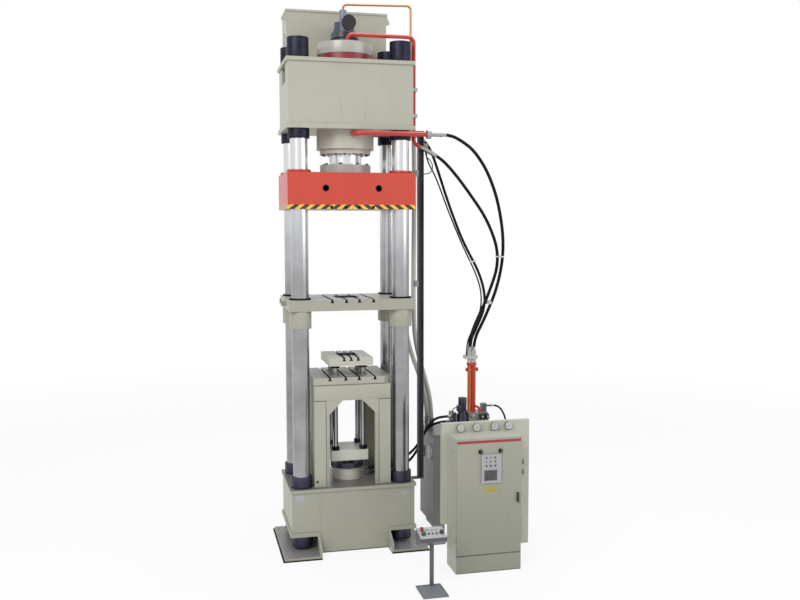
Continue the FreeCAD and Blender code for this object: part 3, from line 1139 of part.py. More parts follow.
def cabinet_shell():
    """Electrical cabinet, open in front, with its plinth and the fixed halves of the hinges."""
    front = DOOR_BACK + SEAT_GAP
    box = block(CABINET_LEFT, CABINET_RIGHT, front, CABINET_BACK, 0, CABINET_HEIGHT)
    room = block(CABINET_LEFT + CABINET_SHEET, CABINET_RIGHT - CABINET_SHEET, front,
                 CABINET_BACK - CABINET_SHEET, CABINET_PLINTH + CABINET_SHEET, CABINET_HEIGHT - CABINET_SHEET)
    steel = [box.cut(room), block(CABINET_LEFT, CABINET_RIGHT, CABINET_FRONT, front, 0, CABINET_PLINTH)]
    for z in hinge_levels():
        low = z - HINGE_LENGTH / 2
        steel.append(rod(HINGE_RADIUS, low, z - SEAT_GAP, HINGE_X, HINGE_Y))
        steel.append(block(HINGE_X, CABINET_LEFT, HINGE_Y, front + HINGE_LENGTH / 2, low, z - SEAT_GAP))
    return weld(steel)


def cabinet_door():
    """Door with the moving halves of its hinges and holes for what it carries."""
    steel = [block(DOOR_LEFT, CABINET_RIGHT, DOOR_FRONT, DOOR_BACK, DOOR_BOTTOM, CABINET_HEIGHT)]
    for z in hinge_levels():
        top = z + HINGE_LENGTH / 2
        steel.append(rod(HINGE_RADIUS, z + SEAT_GAP, top, HINGE_X, HINGE_Y))
        steel.append(block(HINGE_X, DOOR_LEFT + HINGE_RADIUS, HINGE_Y - HINGE_LEAF, HINGE_Y + HINGE_LEAF,
                           z + SEAT_GAP, top))
    cuts = [bar(SPINDLE_RADIUS + RUNNING_GAP, (x, DOOR_FRONT, z), (x, DOOR_BACK, z))
            for x, z in [(HANDLE_X, HANDLE_Z)] + [(x, KNOB_Z) for x in KNOB_X]]
    return weld(steel).cut(cuts)


def door_handle():
    """Lever on a spindle through the door."""
    front = DOOR_FRONT - HANDLE_STANDOFF
    half_width, half_length = HANDLE_WIDTH / 2, HANDLE_LENGTH / 2
    lever = block(HANDLE_X - half_width, HANDLE_X + half_width, front - HANDLE_THICKNESS, front,
                  HANDLE_Z - half_length, HANDLE_Z + half_length)
    return weld([lever, bar(SPINDLE_RADIUS, (HANDLE_X, front, HANDLE_Z), (HANDLE_X, DOOR_BACK, HANDLE_Z))])


def rotary_knob(x):
    """Round selector knob on a shaft through the door."""
    front = DOOR_FRONT - SEAT_GAP - KNOB_LENGTH
    grip = prism(ROUND_SIDES, KNOB_RADIUS, (x, front, KNOB_Z), (x, DOOR_FRONT - SEAT_GAP, KNOB_Z))
    return weld([grip, bar(SPINDLE_RADIUS, (x, DOOR_FRONT - SEAT_GAP, KNOB_Z), (x, DOOR_BACK, KNOB_Z))])


def operator_panel():
    """Operator panel on the door: a raised box with a sunk screen and holes for its buttons."""
    front = DOOR_FRONT - CONSOLE_DEPTH
    box = block(CONSOLE_LEFT, CONSOLE_RIGHT, front, DOOR_FRONT, CONSOLE_BOTTOM, CONSOLE_TOP)
    cuts = [block(SCREEN_LEFT, SCREEN_RIGHT, front, front + SCREEN_DEPTH, SCREEN_BOTTOM, SCREEN_TOP)]
    hole = BUTTON_STEM_HALF + RUNNING_GAP
    cuts += [block(x - hole, x + hole, front, front + BUTTON_STEM, z - hole, z + hole)
             for x, z in console_buttons()]
    return box.cut(cuts)


def console_buttons():
    """Places of the push buttons on the operator panel, as (x, z)."""
    return [(x, CONSOLE_ROWS[2]) for x in CONSOLE_COLUMNS]


def console_button(x, z):
    """Push button with its stem in the operator panel."""
    front = DOOR_FRONT - CONSOLE_DEPTH
    back = front - BUTTON_TRAVEL - SEAT_GAP
    cap = prism(ROUND_SIDES, BUTTON_RADIUS, (x, back - BUTTON_CAP, z), (x, back, z))
    stem_end = front + BUTTON_STEM - BUTTON_TRAVEL - SEAT_GAP
    half = BUTTON_STEM_HALF
    return weld([cap, block(x - half, x + half, back, stem_end, z - half, z + half)])


def panel_lamps():
    """Signal lamps in the two upper rows of the operator panel."""
    front = DOOR_FRONT - CONSOLE_DEPTH
    return solids([prism(ROUND_SIDES, LAMP_RADIUS, (x, front - LAMP_LENGTH, z), (x, front, z))
                   for x in CONSOLE_COLUMNS for z in CONSOLE_ROWS[:2]])


def control_gear():
    """Mounting plate in the cabinet with a row of switchgear and two wiring ducts."""
    back = CABINET_BACK - CABINET_SHEET
    left, right = CABINET_LEFT + BACK_PLATE_MARGIN, CABINET_RIGHT - BACK_PLATE_MARGIN
    bottom, top = CABINET_PLINTH + 2 * BACK_PLATE_MARGIN, CABINET_HEIGHT - 2 * BACK_PLATE_MARGIN
    front = back - GEAR_STANDOFF
    gear = [block(left, right, front, back, bottom, top)]
    for z in GEAR_DUCTS:
        gear.append(block(left, right, front - GEAR_DEPTH / 2, front, z, z + GEAR_DUCT_WIDTH))
    for i in range(GEAR_COUNT):
        x = left + GEAR_PITCH / 2 + i * GEAR_PITCH
        gear.append(block(x, x + GEAR_WIDTH, front - GEAR_DEPTH, front, GEAR_BOTTOM, GEAR_BOTTOM + GEAR_HEIGHT))
    return weld(gear)


# ---------------------------------------------------------------- pedestal

def pedestal_stand():
    """Foot plate and pole of the two-hand control."""
    left, right, front, back = PEDESTAL_PLATE
    return weld([block(left, right, front, back, 0, PEDESTAL_PLATE_THICKNESS),
                 prism(ROUND_SIDES, POLE_RADIUS, (PEDESTAL_X, POLE_Y, PEDESTAL_PLATE_THICKNESS),
                       (PEDESTAL_X, POLE_Y, DESK_BOTTOM))])


def on_desk(shape, place, sink=0.0):
    """Move a shape, built upright at the origin, to a place on the sloping desk."""
    x, y = place
    z = DESK_BACK_TOP + (y - DESK_BACK) * math.tan(DESK_SLOPE) - sink
    moved = shape.copy()
    moved.rotate(Vector(0, 0, 0), Vector(1, 0, 0), math.degrees(DESK_SLOPE))
    moved.translate(Vector(x, y, z))
    return moved


def pedestal_box():
    """Sloping desk with a hole for the stem of each button."""
    outline = ((DESK_BACK, DESK_BOTTOM), (DESK_BACK, DESK_BACK_TOP), (DESK_FRONT, DESK_FRONT_TOP),
               (DESK_FRONT, DESK_FRONT_TOP - DESK_FRONT_FACE), (DESK_KNEE_Y, DESK_BOTTOM))
    hole = post(BUTTON_STEM_HALF + RUNNING_GAP, -DESK_STEM, DESK_STEM)
    places = (STOP_PLACE,) + PALM_PLACES + PUSH_PLACES
    return plate_yz(outline, DESK_LEFT, DESK_RIGHT).cut([on_desk(hole, place) for place in places])


def pedestal_lamps():
    """Signal lamps along the back of the desk."""
    lamp = prism(ROUND_SIDES, PUSH_RADIUS, (0, 0, 0), (0, 0, LAMP_LENGTH))
    return solids([on_desk(lamp, place) for place in PEDESTAL_LAMPS])


def desk_button(place, radius, height, travel):
    """Push button: a cap on a stem in the desk, lifted by its travel."""
    lift = travel + SEAT_GAP
    cap = prism(ROUND_SIDES, radius, (0, 0, lift), (0, 0, lift + height))
    return on_desk(weld([cap, post(BUTTON_STEM_HALF, lift - DESK_STEM + travel, lift)]), place)


# ---------------------------------------------------------------- write the sub-parts

os.makedirs("parts", exist_ok=True)

sub_parts = {
    "base_frame": base_frame(),
    "tie_columns": tie_columns(),
    "column_nuts": column_nuts(),
    "crown_frame": crown_frame(),
    "main_cylinder": main_cylinder(),
    "cylinder_lock_nut": cylinder_lock_nut(),
    "cylinder_cap": cylinder_cap(),
    "cylinder_glands": cylinder_glands(),
    "prefill_valve": prefill_valve(),
    "overhead_tank": overhead_tank(),
    "top_pressure_pipe": top_pressure_pipe(),
    "pilot_pipe": pilot_pipe(),
    "lower_pressure_pipe": lower_pressure_pipe(),
    "hose_fittings": hose_fittings(),
    "switch_rail": switch_rail(),
    "limit_switches": limit_switches(),
    "work_table": work_table(),
    "rod_bushes": rod_bushes(),
    "ejector_cylinder": ejector_cylinder(),
    "oil_tank": oil_tank(),
    "pump_motor": pump_motor(),
    "valve_manifold": valve_manifold(),
    "riser_pipes": riser_pipes(),
    "gauge_cabinet": gauge_cabinet(),
    "pressure_gauges": pressure_gauges(),
    "cabinet_shell": cabinet_shell(),
    "control_gear": control_gear(),
    "pedestal_stand": pedestal_stand(),
    "pedestal_box": pedestal_box(),
    "pedestal_lamps": pedestal_lamps(),
    "pressure_hoses": hoses("pressure_hoses", MAIN_HOSES + EJECTOR_HOSES + (DRAIN_HOSE,)),
    "return_hoses": hoses("return_hoses", RETURN_HOSES),
    "signal_cables": hoses("signal_cables", SIGNAL_CABLES),
    "slide_frame": slide_frame(),
    "slide_bushes": slide_bushes(),
    "main_ram": main_ram(),
    "ram_flange": ram_flange(),
    "middle_platen": middle_platen(),
    "platen_guides": platen_guides(),
    "platen_wipers": platen_wipers(),
    "ejector_ram": ejector_ram(),
    "ejector_lower_plate": ejector_lower_plate(),
    "lift_rods": lift_rods(),
    "rod_collars": rod_collars(),
    "ejector_table": ejector_table(),
    "cabinet_door": cabinet_door(),
    "operator_panel": operator_panel(),
    "panel_lamps": panel_lamps(),
    "door_handle": door_handle(),
    "emergency_stop": desk_button(STOP_PLACE, STOP_RADIUS, STOP_HEIGHT, PALM_TRAVEL),
}
for number, x in enumerate(KNOB_X, 1):
    sub_parts[f"rotary_knob_{number}"] = rotary_knob(x)
for number, (x, z) in enumerate(console_buttons(), 1):
    sub_parts[f"panel_button_{number}"] = console_button(x, z)
for number, place in enumerate(PALM_PLACES, 1):
    sub_parts[f"palm_button_{number}"] = desk_button(place, PALM_RADIUS, PALM_HEIGHT, PALM_TRAVEL)
for number, place in enumerate(PUSH_PLACES, 1):
    sub_parts[f"push_button_{number}"] = desk_button(place, PUSH_RADIUS, PUSH_HEIGHT, PUSH_TRAVEL)

for name, shape in sub_parts.items():
    shape.exportStep(f"parts/{name}.step")
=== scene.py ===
# %% [markdown]
# # A four-column hydraulic press
# The solids of the press come from CAD and are loaded as they are. This file gives them their
# paint, chrome and rubber, lays the hoses as smooth curves and adds the details that are too small
# for the solids: bolts, panels, dials, buttons and bare plates. Everything is in metres, +Z is up,
# and someone who stands at the front looks along +Y.

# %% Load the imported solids
import bpy
import math
from mathutils import Matrix, Vector


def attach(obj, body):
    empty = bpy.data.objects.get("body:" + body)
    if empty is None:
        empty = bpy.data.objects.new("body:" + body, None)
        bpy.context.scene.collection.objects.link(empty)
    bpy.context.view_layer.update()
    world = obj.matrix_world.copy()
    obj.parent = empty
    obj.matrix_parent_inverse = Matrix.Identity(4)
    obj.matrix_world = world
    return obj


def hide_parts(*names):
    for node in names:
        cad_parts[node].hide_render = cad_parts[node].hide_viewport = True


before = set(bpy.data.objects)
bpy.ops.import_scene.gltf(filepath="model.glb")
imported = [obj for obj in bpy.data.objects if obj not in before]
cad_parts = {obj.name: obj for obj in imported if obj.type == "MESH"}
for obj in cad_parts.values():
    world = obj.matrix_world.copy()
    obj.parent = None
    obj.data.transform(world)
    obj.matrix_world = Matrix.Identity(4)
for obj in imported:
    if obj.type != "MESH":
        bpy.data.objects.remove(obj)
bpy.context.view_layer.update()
scene = bpy.context.scene

# %% [markdown]
# The camera comes first, because every later comparison depends on it. Its place and its lens were
# worked out from the corners of the crown, the slide, the table and the cabinet, whose places are
# known in all three directions, so it only has to be put there. It is turned by 13.6 degrees to
# the right and tipped 4.6 degrees down, as it is when one photographs a tall machine from a
# platform.

# %% Camera at the photographer's place
CAMERA_PLACE = (-2.2959, -12.8333, 4.5419)
CAMERA_YAW, CAMERA_PITCH, CAMERA_ROLL = (math.radians(a) for a in (13.572, -4.587, 0.068))
LENS_MM, SENSOR_MM = 40.77, 36.0
camera_data = bpy.data.cameras.new("camera")
camera_data.lens = LENS_MM
camera_data.sensor_width = SENSOR_MM
camera_data.clip_end = 200.0
camera = bpy.data.objects.new("camera", camera_data)
camera.location = CAMERA_PLACE
camera.rotation_euler = (math.pi / 2 + CAMERA_PITCH, CAMERA_ROLL, -CAMERA_YAW)
scene.collection.objects.link(camera)
scene.camera = camera
print("camera at", CAMERA_PLACE)

# %% [markdown]
# A finish is a node material. Blender's nodes are awkward to join by hand, so three small classes
# do it: a Wire is a node's output that can be used in ordinary Python arithmetic, Nodes adds any
# node to a tree by its type, its settings and its inputs, and a Finish is the Nodes of one
# material. What doesn't change over a surface is written straight into the shader.

# %% Shader helpers
class Wire:
    """An output socket that takes part in Python arithmetic."""

    def __init__(self, nodes, socket):
        self.nodes = nodes
        self.socket = socket

    def maths(self, operation, *values):
        return self.nodes.node("ShaderNodeMath", {"operation": operation}, dict(enumerate(values)))

    def __add__(self, other):
        return self.maths("ADD", self, other)

    def __sub__(self, other):
        return self.maths("SUBTRACT", self, other)

    def __rsub__(self, other):
        return self.maths("SUBTRACT", other, self)

    def __mul__(self, other):
        return self.maths("MULTIPLY", self, other)

    def __truediv__(self, other):
        return self.maths("DIVIDE", self, other)

    def __rtruediv__(self, other):
        return self.maths("DIVIDE", other, self)

    __radd__ = __add__
    __rmul__ = __mul__

    def __lt__(self, limit):
        return self.maths("LESS_THAN", self, limit)

    def __gt__(self, limit):
        return self.maths("GREATER_THAN", self, limit)

    def __abs__(self):
        return self.maths("ABSOLUTE", self)

    def fraction(self):
        return self.maths("FRACT", self)

    def fade(self, start, end):
        """0 below start, 1 above end and a smooth rise between them."""
        inputs = {"Value": self, "From Min": start, "From Max": end}
        return self.nodes.node("ShaderNodeMapRange", {"interpolation_type": "SMOOTHSTEP"}, inputs)


class Nodes:
    """A node tree that takes nodes in one call each."""

    def __init__(self, tree):
        self.tree = tree

    def node(self, kind, settings=None, inputs=None, out=0):
        """Any node: its settings first, then the values or wires of its inputs."""
        made = self.tree.nodes.new(kind)
        for key, value in (settings or {}).items():
            setattr(made, key, value)
        for key, value in (inputs or {}).items():
            if isinstance(value, Wire):
                self.tree.links.new(value.socket, made.inputs[key])
            else:
                made.inputs[key].default_value = value
        return Wire(self, made.outputs[out])

    def ends_in(self, output, wire):
        """What the tree's output node shows."""
        self.tree.links.new(wire.socket, self.tree.nodes[output].inputs["Surface"])


class Finish(Nodes):
    """One material, built up from wires."""

    def __init__(self, name, **constants):
        self.material = bpy.data.materials.new(name)
        self.material.use_nodes = True
        super().__init__(self.material.node_tree)
        self.shader = self.tree.nodes["Principled BSDF"]
        for socket, value in constants.items():
            self.shader.inputs[socket.replace("_", " ")].default_value = value
        self.place = self.node("ShaderNodeTexCoord", out="Object")

    def stretched(self, x, y, z):
        """Object coordinates, scaled along each direction."""
        return self.node("ShaderNodeMapping", None, {"Vector": self.place, "Scale": (x, y, z)})

    def noise(self, scale, detail=3.0, roughness=0.5, place=None):
        inputs = {"Vector": place or self.place, "Scale": scale, "Detail": detail,
                  "Roughness": roughness}
        return self.node("ShaderNodeTexNoise", None, inputs)

    def blend(self, share, first, second):
        """The first colour where share is 0 and the second where it is 1."""
        colours = {"Factor": share, 6: first, 7: second}
        return self.node("ShaderNodeMix", {"data_type": "RGBA"}, colours, out=2)

    def split(self, vector):
        """The x, y and z of a vector."""
        return [self.node("ShaderNodeSeparateXYZ", None, {"Vector": vector}, out=i) for i in range(3)]

    def edges(self, width):
        """A mask that is 1 along sharp outer edges and 0 on flat faces."""
        worn = self.node("ShaderNodeBevel", {"samples": 4}, {"Radius": width})
        plain = self.node("ShaderNodeNewGeometry", out="Normal")
        meet = self.node("ShaderNodeVectorMath", {"operation": "DOT_PRODUCT"}, {0: worn, 1: plain},
                         out="Value")
        return (1.0 - meet).fade(0.02, 0.16)

    def bump(self, height, strength, distance):
        inputs = {"Height": height, "Strength": strength, "Distance": distance}
        self.set("Normal", self.node("ShaderNodeBump", None, inputs))

    def set(self, socket, wire):
        self.tree.links.new(wire.socket, self.shader.inputs[socket])


def tint(colour, factor=1.0):
    """A colour made lighter or darker, with an alpha of 1."""
    return tuple(min(1.0, c * factor) for c in colour[:3]) + (1.0,)


print("shader helpers ready")

# %% [markdown]
# A studio stands round the machine: a pale floor, white all round it and three large soft lamps.
# Large lamps give the chromed columns long, quiet reflections, which small lamps would turn into
# hot streaks. The world adds a plain grey light, so that no side of the press goes black. What the
# camera sees of it is white, and the Light Path node keeps that white from lighting the machine.
# Most of what the camera sees of the floor is its own white too, and the rest is matt, so that the
# press throws a shadow on it. Far from the press the white takes over, so that no horizon shows.

# %% Floor, world and lamps
def seen_directly(nodes):
    """1 for what is seen straight, in a gloss or through a clear thing, 0 for light on things."""
    straight, gloss, through = (nodes.node("ShaderNodeLightPath", out=f"Is {kind} Ray")
                                for kind in ("Camera", "Glossy", "Transmission"))
    return nodes.node("ShaderNodeMath", {"use_clamp": True}, {0: straight + gloss, 1: through})


world = bpy.data.worlds.new("studio")
world.use_nodes = True
scene.world = world
sky = Nodes(world.node_tree)
ambient = sky.node("ShaderNodeBackground", None, {"Color": (0.88, 0.89, 0.90, 1.0), "Strength": 0.58})
white_wall = sky.node("ShaderNodeBackground", None, {"Color": (1.0, 1.0, 1.0, 1.0)})
sky_mix = {"Fac": seen_directly(sky), 1: ambient, 2: white_wall}
sky.ends_in("World Output", sky.node("ShaderNodeMixShader", None, sky_mix))

FLOOR_WHITE = 0.86
bpy.ops.object.select_all(action="DESELECT")
bpy.ops.mesh.primitive_plane_add(size=120.0, location=(0.0, 0.0, -0.001))
floor = bpy.context.object
floor.name = "floor"
bpy.ops.object.transform_apply(location=True, rotation=True, scale=True)
ground = Finish("studio_floor", Roughness=0.8)
ground.set("Base Color", ground.blend(ground.noise(0.6), tint((0.84,) * 3), tint((0.88,) * 3)))
x, y, z = ground.split(ground.place)
far_away = (x * x + y * y).fade(16.0, 320.0)
white_share = seen_directly(ground) * (far_away * (1.0 - FLOOR_WHITE) + FLOOR_WHITE)
floor_mix = {"Fac": white_share, 1: Wire(ground, ground.shader.outputs[0]),
             2: ground.node("ShaderNodeEmission")}
ground.ends_in("Material Output", ground.node("ShaderNodeMixShader", None, floor_mix))
floor.data.materials.append(ground.material)

SOFT_LAMPS = (
    ("key_lamp", (-9.0, -11.0, 12.0), (0.0, 0.0, 3.5), 7.0, 1180.0),
    ("fill_lamp", (11.0, -9.0, 8.0), (0.5, 0.0, 3.5), 8.0, 480.0),
    ("top_lamp", (1.0, 2.0, 15.0), (0.5, 0.0, 3.0), 8.0, 620.0),
)
for name, place, aim, size, power in SOFT_LAMPS:
    data = bpy.data.lights.new(name, "AREA")
    data.size = size
    data.energy = power
    lamp = bpy.data.objects.new(name, data)
    lamp.location = place
    lamp.rotation_euler = (Vector(aim) - Vector(place)).to_track_quat("-Z", "Y").to_euler()
    scene.collection.objects.link(lamp)
scene.view_settings.view_transform = "Standard"
print("lamps:", len(SOFT_LAMPS))

# %% [markdown]
# Machine paint is sprayed on welded plate. Seen close it has a faint orange-peel skin; seen from
# afar it isn't one even colour, because each plate was sprayed at its own time and grease and dust
# settle on it. Three layers of noise do that: broad patches, upright streaks where oil has run
# down, and a fine skin in the bump. Along outer edges the paint is thin and shows the primer, and
# a bevel node finds those edges. One function makes every paint of the press. Where one solid
# carries two colours, such as the slide with its black and yellow band, a pattern function paints
# over the body colour by the place of each point, so the colours end exactly where the plate does.

# %% Paint
PRIMER = (0.30, 0.28, 0.25, 1.0)


def paint(name, colour, roughness=0.42, wear=0.5, grime=0.5, pattern=None):
    finish = Finish(name, Coat_Weight=0.08, Coat_Roughness=0.3)
    patches = finish.noise(1.1, 4.0, 0.6)
    streaks = finish.noise(3.0, 3.0, 0.6, finish.stretched(5.0, 5.0, 0.35))
    skin = finish.noise(210.0, 2.0)
    body = finish.blend(patches, tint(colour, 0.90), tint(colour, 1.06))
    if pattern:
        body = pattern(finish, body, *finish.split(finish.place))
    soiled = finish.blend(streaks.fade(0.56, 0.90) * grime, body, tint(colour, 0.62))
    rubbed = finish.edges(0.006) * finish.noise(26.0, 4.0, 0.7).fade(0.42, 0.62) * wear
    dull = patches * 0.14 + streaks.fade(0.5, 0.8) * 0.10 + rubbed * 0.2
    finish.set("Base Color", finish.blend(rubbed, soiled, PRIMER))
    finish.set("Roughness", dull + (roughness - 0.1))
    finish.bump(skin + patches * 0.3, 0.12, 0.0006)
    return finish.material


print("paint ready")

# %% [markdown]
# The patterns say where on a solid the colour changes, and several also paint shade: inside slots,
# windows and holes, on the base's top plate and inside it, on the desk's sides and along the door's
# foot. Each gets the finish, the body colour and the x, y and z of a point, in metres. A level is
# painted with a little room above and below it, because a computer's numbers are never quite exact,
# and the levels have names, because later pieces stand on the same plates.

# %% Patterns on two-coloured solids, and painted shade
FOOT_TOP, BASE_TOP, TABLE_TOP = 0.045, 0.916, 2.455
BASE_FACE, TABLE_FACE, DOOR_FACE = -0.562, -0.484, -1.774
SLIDE_LOW, SLIDE_TOP, SLIDE_HALF_Y = 4.790, 5.290, 0.562
PAINTED_RECESS_SHADE = (0.035, 0.034, 0.036, 1.0)
DARKER_TOP_GREY = (0.24, 0.23, 0.205, 1.0)
LOWEST_BAND_BLACK = (0.030, 0.030, 0.032, 1.0)


def between(value, low, high):
    """1 where a value lies between two limits."""
    return (value > low) * (value < high)


def level(value, height):
    """1 on a flat face at one height."""
    return between(value, height - 0.0007, height + 0.0007)


def slots_and_window(places, low, half_y, window=None, top=None):
    """Painted shade inside the T-slots and the window of a plate, and a darker grey on its top."""
    def pattern(finish, body, x, y, z):
        inside = (abs(y) < half_y - 0.001) * (z > low)
        if top:
            body = finish.blend(level(z, top), body, DARKER_TOP_GREY)
            inside = inside * (z < top - 0.0006)
        # Painted shade: the inner faces of the slots and the window are darkened.
        for slot in places:
            body = finish.blend((abs(x - slot) < 0.0235) * inside, body, PAINTED_RECESS_SHADE)
        if window:
            body = finish.blend((abs(x) < window[0]) * (abs(y) < window[1]), body, PAINTED_RECESS_SHADE)
        return body
    return pattern


def table_shades(finish, body, x, y, z):
    """The table's slots with painted shade in them, its darker top, and the shadowed weld seams between
    its plates.
    """
    legs = abs(x) > 0.372
    seams = between(z, 2.3445, 2.3600) + between(z, 2.124, 2.140) * legs
    uprights = between(abs(x), 0.372, 0.383) * between(z, 0.936, 2.140)
    body = finish.blend((seams + uprights) * (y < TABLE_FACE + 0.0005), body, (0.16, 0.155, 0.125, 1.0))
    slots = slots_and_window((-0.32, -0.095, 0.095, 0.32), 2.37, 0.49, None, TABLE_TOP)
    return slots(finish, body, x, y, z)


def warning_band(finish, body, x, y, z):
    """Black and yellow slanted stripes round the slide's foot, and painted shade inside the holes in its
    sides.
    """
    slant = ((abs(x) + abs(y) + (z - SLIDE_LOW) * 1.25) / 0.144).fraction() < 0.46
    band = finish.blend(slant, (0.030, 0.030, 0.034, 1.0), (0.86, 0.50, 0.045, 1.0))
    body = finish.blend(between(z, SLIDE_LOW + 0.0005, 4.852), body, band)
    # Painted shade: the faces inside the holes are darkened.
    inside = (abs(y) < SLIDE_HALF_Y) * (abs(x) < 0.886) * (z < SLIDE_TOP - 0.001)
    return finish.blend(inside, body, PAINTED_RECESS_SHADE)


def base_shades(finish, body, x, y, z):
    """Painted shade on the top plate and inside the base, darker tops on the feet, and black along the
    lowest 14 mm.
    """
    # Painted shade: the base's top plate is darkened.
    body = finish.blend(level(z, BASE_TOP), body, (0.165, 0.155, 0.145, 1.0))
    body = finish.blend(level(z, FOOT_TOP), body, (0.245, 0.238, 0.228, 1.0))
    body = finish.blend(z < 0.014, body, LOWEST_BAND_BLACK)
    # Painted shade: the inside of the base, below its top plate, is nearly black.
    inside = (abs(x) < 0.873) * (abs(y) < 0.561) * between(z, FOOT_TOP + 0.001, 0.87)
    return finish.blend(inside, body, (0.07, 0.068, 0.075, 1.0))


def two_glands(finish, body, x, y, z):
    """The upper gland is painted with the cylinder and the ejector's is dark."""
    return finish.blend(z < 3.0, body, (0.022, 0.022, 0.040, 1.0))


def valve_shades(finish, body, x, y, z):
    """A lighter pilot cylinder above the valve and a black cap on the suction pipe."""
    body = finish.blend((z > 7.402) * (abs(y) < 0.08), body, (0.20, 0.195, 0.27, 1.0))
    return finish.blend(y < -0.1495, body, (0.005, 0.005, 0.009, 1.0))


def riser_shades(finish, body, x, y, z):
    """One orange pipe, one red pipe, and a header of bare steel."""
    body = finish.blend(x < 1.883, body, (0.46, 0.105, 0.016, 1.0))
    return finish.blend(z > 2.534, body, (0.44, 0.44, 0.42, 1.0))


def shell_shades(finish, body, x, y, z):
    """The plinth under the door is a darker tone than the sides, and a dark brown strip runs along its
    foot.
    """
    body = finish.blend(z < 0.012, body, (0.13, 0.12, 0.095, 1.0))
    return finish.blend(between(z, 0.012, 0.229) * (y < -1.76), body, (0.285, 0.285, 0.235, 1.0))


def door_shades(finish, body, x, y, z):
    """The door darkens towards the floor, and painted shade runs along its foot, in the gap above the
    plinth.
    """
    darker_low = finish.blend(0.45, body, (0.20, 0.20, 0.17, 1.0))
    body = finish.blend(z.fade(0.25, 1.75), darker_low, body)
    # Painted shade along the door's lowest edge.
    return finish.blend(z < 0.246, body, (0.13, 0.125, 0.10, 1.0))


def foot_shades(finish, body, x, y, z):
    """A lighter foot plate under a dark pole."""
    return finish.blend(z < 0.024, body, (0.205, 0.230, 0.255, 1.0))


def manifold_shades(finish, body, x, y, z):
    """Bare grey block, a blackened side block and a dark blue filter head."""
    body = finish.blend(x < 1.70, body, (0.030, 0.030, 0.045, 1.0))
    return finish.blend((z > 1.792) * (x > 1.70), body, (0.060, 0.085, 0.105, 1.0))


def desk_shades(finish, body, x, y, z):
    """A pale panel on top of the desk, and painted shade on its dark grey sides."""
    upward = finish.split(finish.node("ShaderNodeNewGeometry", out="Normal"))[2]
    # Painted shade: every face that doesn't look up is dark grey.
    return finish.blend(upward > 0.7, (0.085, 0.083, 0.095, 1.0), body)


def flange_shades(finish, body, x, y, z):
    """Pale steel halves with dark bolt heads."""
    return finish.blend(z > 5.4154, body, (0.05, 0.05, 0.055, 1.0))


PLATEN_SLOTS = slots_and_window((-0.29, -0.092, 0.092, 0.29), 3.40, 0.559, (0.166, 0.201))
LIFT_SLOTS = slots_and_window((-0.1, 0.0, 0.1), 2.63, 0.392, (0.141, 0.151))
print("patterns ready")

# %% [markdown]
# The press was painted in one greige, but light, age and dust make each plate look a little
# different in the photograph, so each large solid has its own lighter or darker copy of it, with
# the light and shade it shows painted in. Reds, greys and the small plates follow.

# %% The paints of this press
GREIGE = (0.435, 0.428, 0.353)
SHOP_GREIGE = (0.375, 0.375, 0.305)
CYLINDER_GREIGE = (0.495, 0.487, 0.410)
greige = paint("greige_paint", GREIGE)
shop_greige = paint("shop_greige_paint", SHOP_GREIGE)
door_greige = paint("door_paint", (0.345, 0.345, 0.280), pattern=door_shades)
shell_greige = paint("shell_paint", (0.43, 0.43, 0.36), pattern=shell_shades)
board_greige = paint("board_paint", (0.50, 0.50, 0.425))
sleeve_greige = paint("sleeve_paint", (0.38, 0.374, 0.308))
# Painted light: the ejector's copy is the lightest, against the shadow of the table over it.
ejector_greige = paint("ejector_paint", (0.66, 0.655, 0.57))
cylinder_greige = paint("cylinder_paint", CYLINDER_GREIGE, 0.40)
cap_cream = paint("cap_cream_paint", (0.43, 0.425, 0.385), 0.30, 0.3)
flange_steel = paint("flange_finish", (0.40, 0.395, 0.38), 0.34, 0.4, pattern=flange_shades)
base_paint = paint("base_paint", SHOP_GREIGE, pattern=base_shades)
table_paint = paint("table_paint", (0.42, 0.415, 0.345), pattern=table_shades)
platen_paint = paint("platen_paint", (0.370, 0.364, 0.300), pattern=PLATEN_SLOTS)
lift_paint = paint("lift_table_paint", (0.53, 0.52, 0.44), pattern=LIFT_SLOTS)
gland_paint = paint("gland_paint", CYLINDER_GREIGE, 0.40, pattern=two_glands)
red = paint("red_paint", (0.56, 0.060, 0.034), 0.36, 0.5, 0.3, warning_band)
red_enamel = paint("red_enamel", (0.50, 0.035, 0.026), 0.32, 0.4, 0.3)
band_red = paint("band_paint", (0.36, 0.022, 0.048), 0.34, 0.2, 0.3)
dark_red = paint("ring_paint", (0.22, 0.018, 0.022), 0.42, 0.4)
dark_grey = paint("dark_grey_paint", (0.170, 0.167, 0.171), 0.45, 0.7)
rail_black = paint("rail_paint", (0.055, 0.055, 0.070), 0.5, 0.7)
foot_grey = paint("foot_paint", (0.100, 0.106, 0.125), 0.42, 0.8, pattern=foot_shades)
motor_navy = paint("motor_paint", (0.020, 0.020, 0.045), 0.40, 0.4)
blue_black = paint("valve_paint", (0.045, 0.058, 0.085), 0.4, 0.6, pattern=valve_shades)
desk_grey = paint("desk_paint", (0.45, 0.45, 0.46), 0.4, 0.3, pattern=desk_shades)
panel_grey = paint("panel_paint", (0.395, 0.390, 0.415), 0.38, 0.2, 0.3)
risers_paint = paint("riser_paint", (0.43, 0.036, 0.016), 0.38, pattern=riser_shades)
manifold_paint = paint("manifold_finish", (0.21, 0.21, 0.20), 0.34, 0.3, pattern=manifold_shades)
bare_plate = paint("bare_plate", (0.42, 0.41, 0.43), 0.35, 0.2, 0.2)
plate_yellow = paint("plate_yellow", (0.39, 0.32, 0.06), 0.35, 0.1, 0.2)
print("paints made")
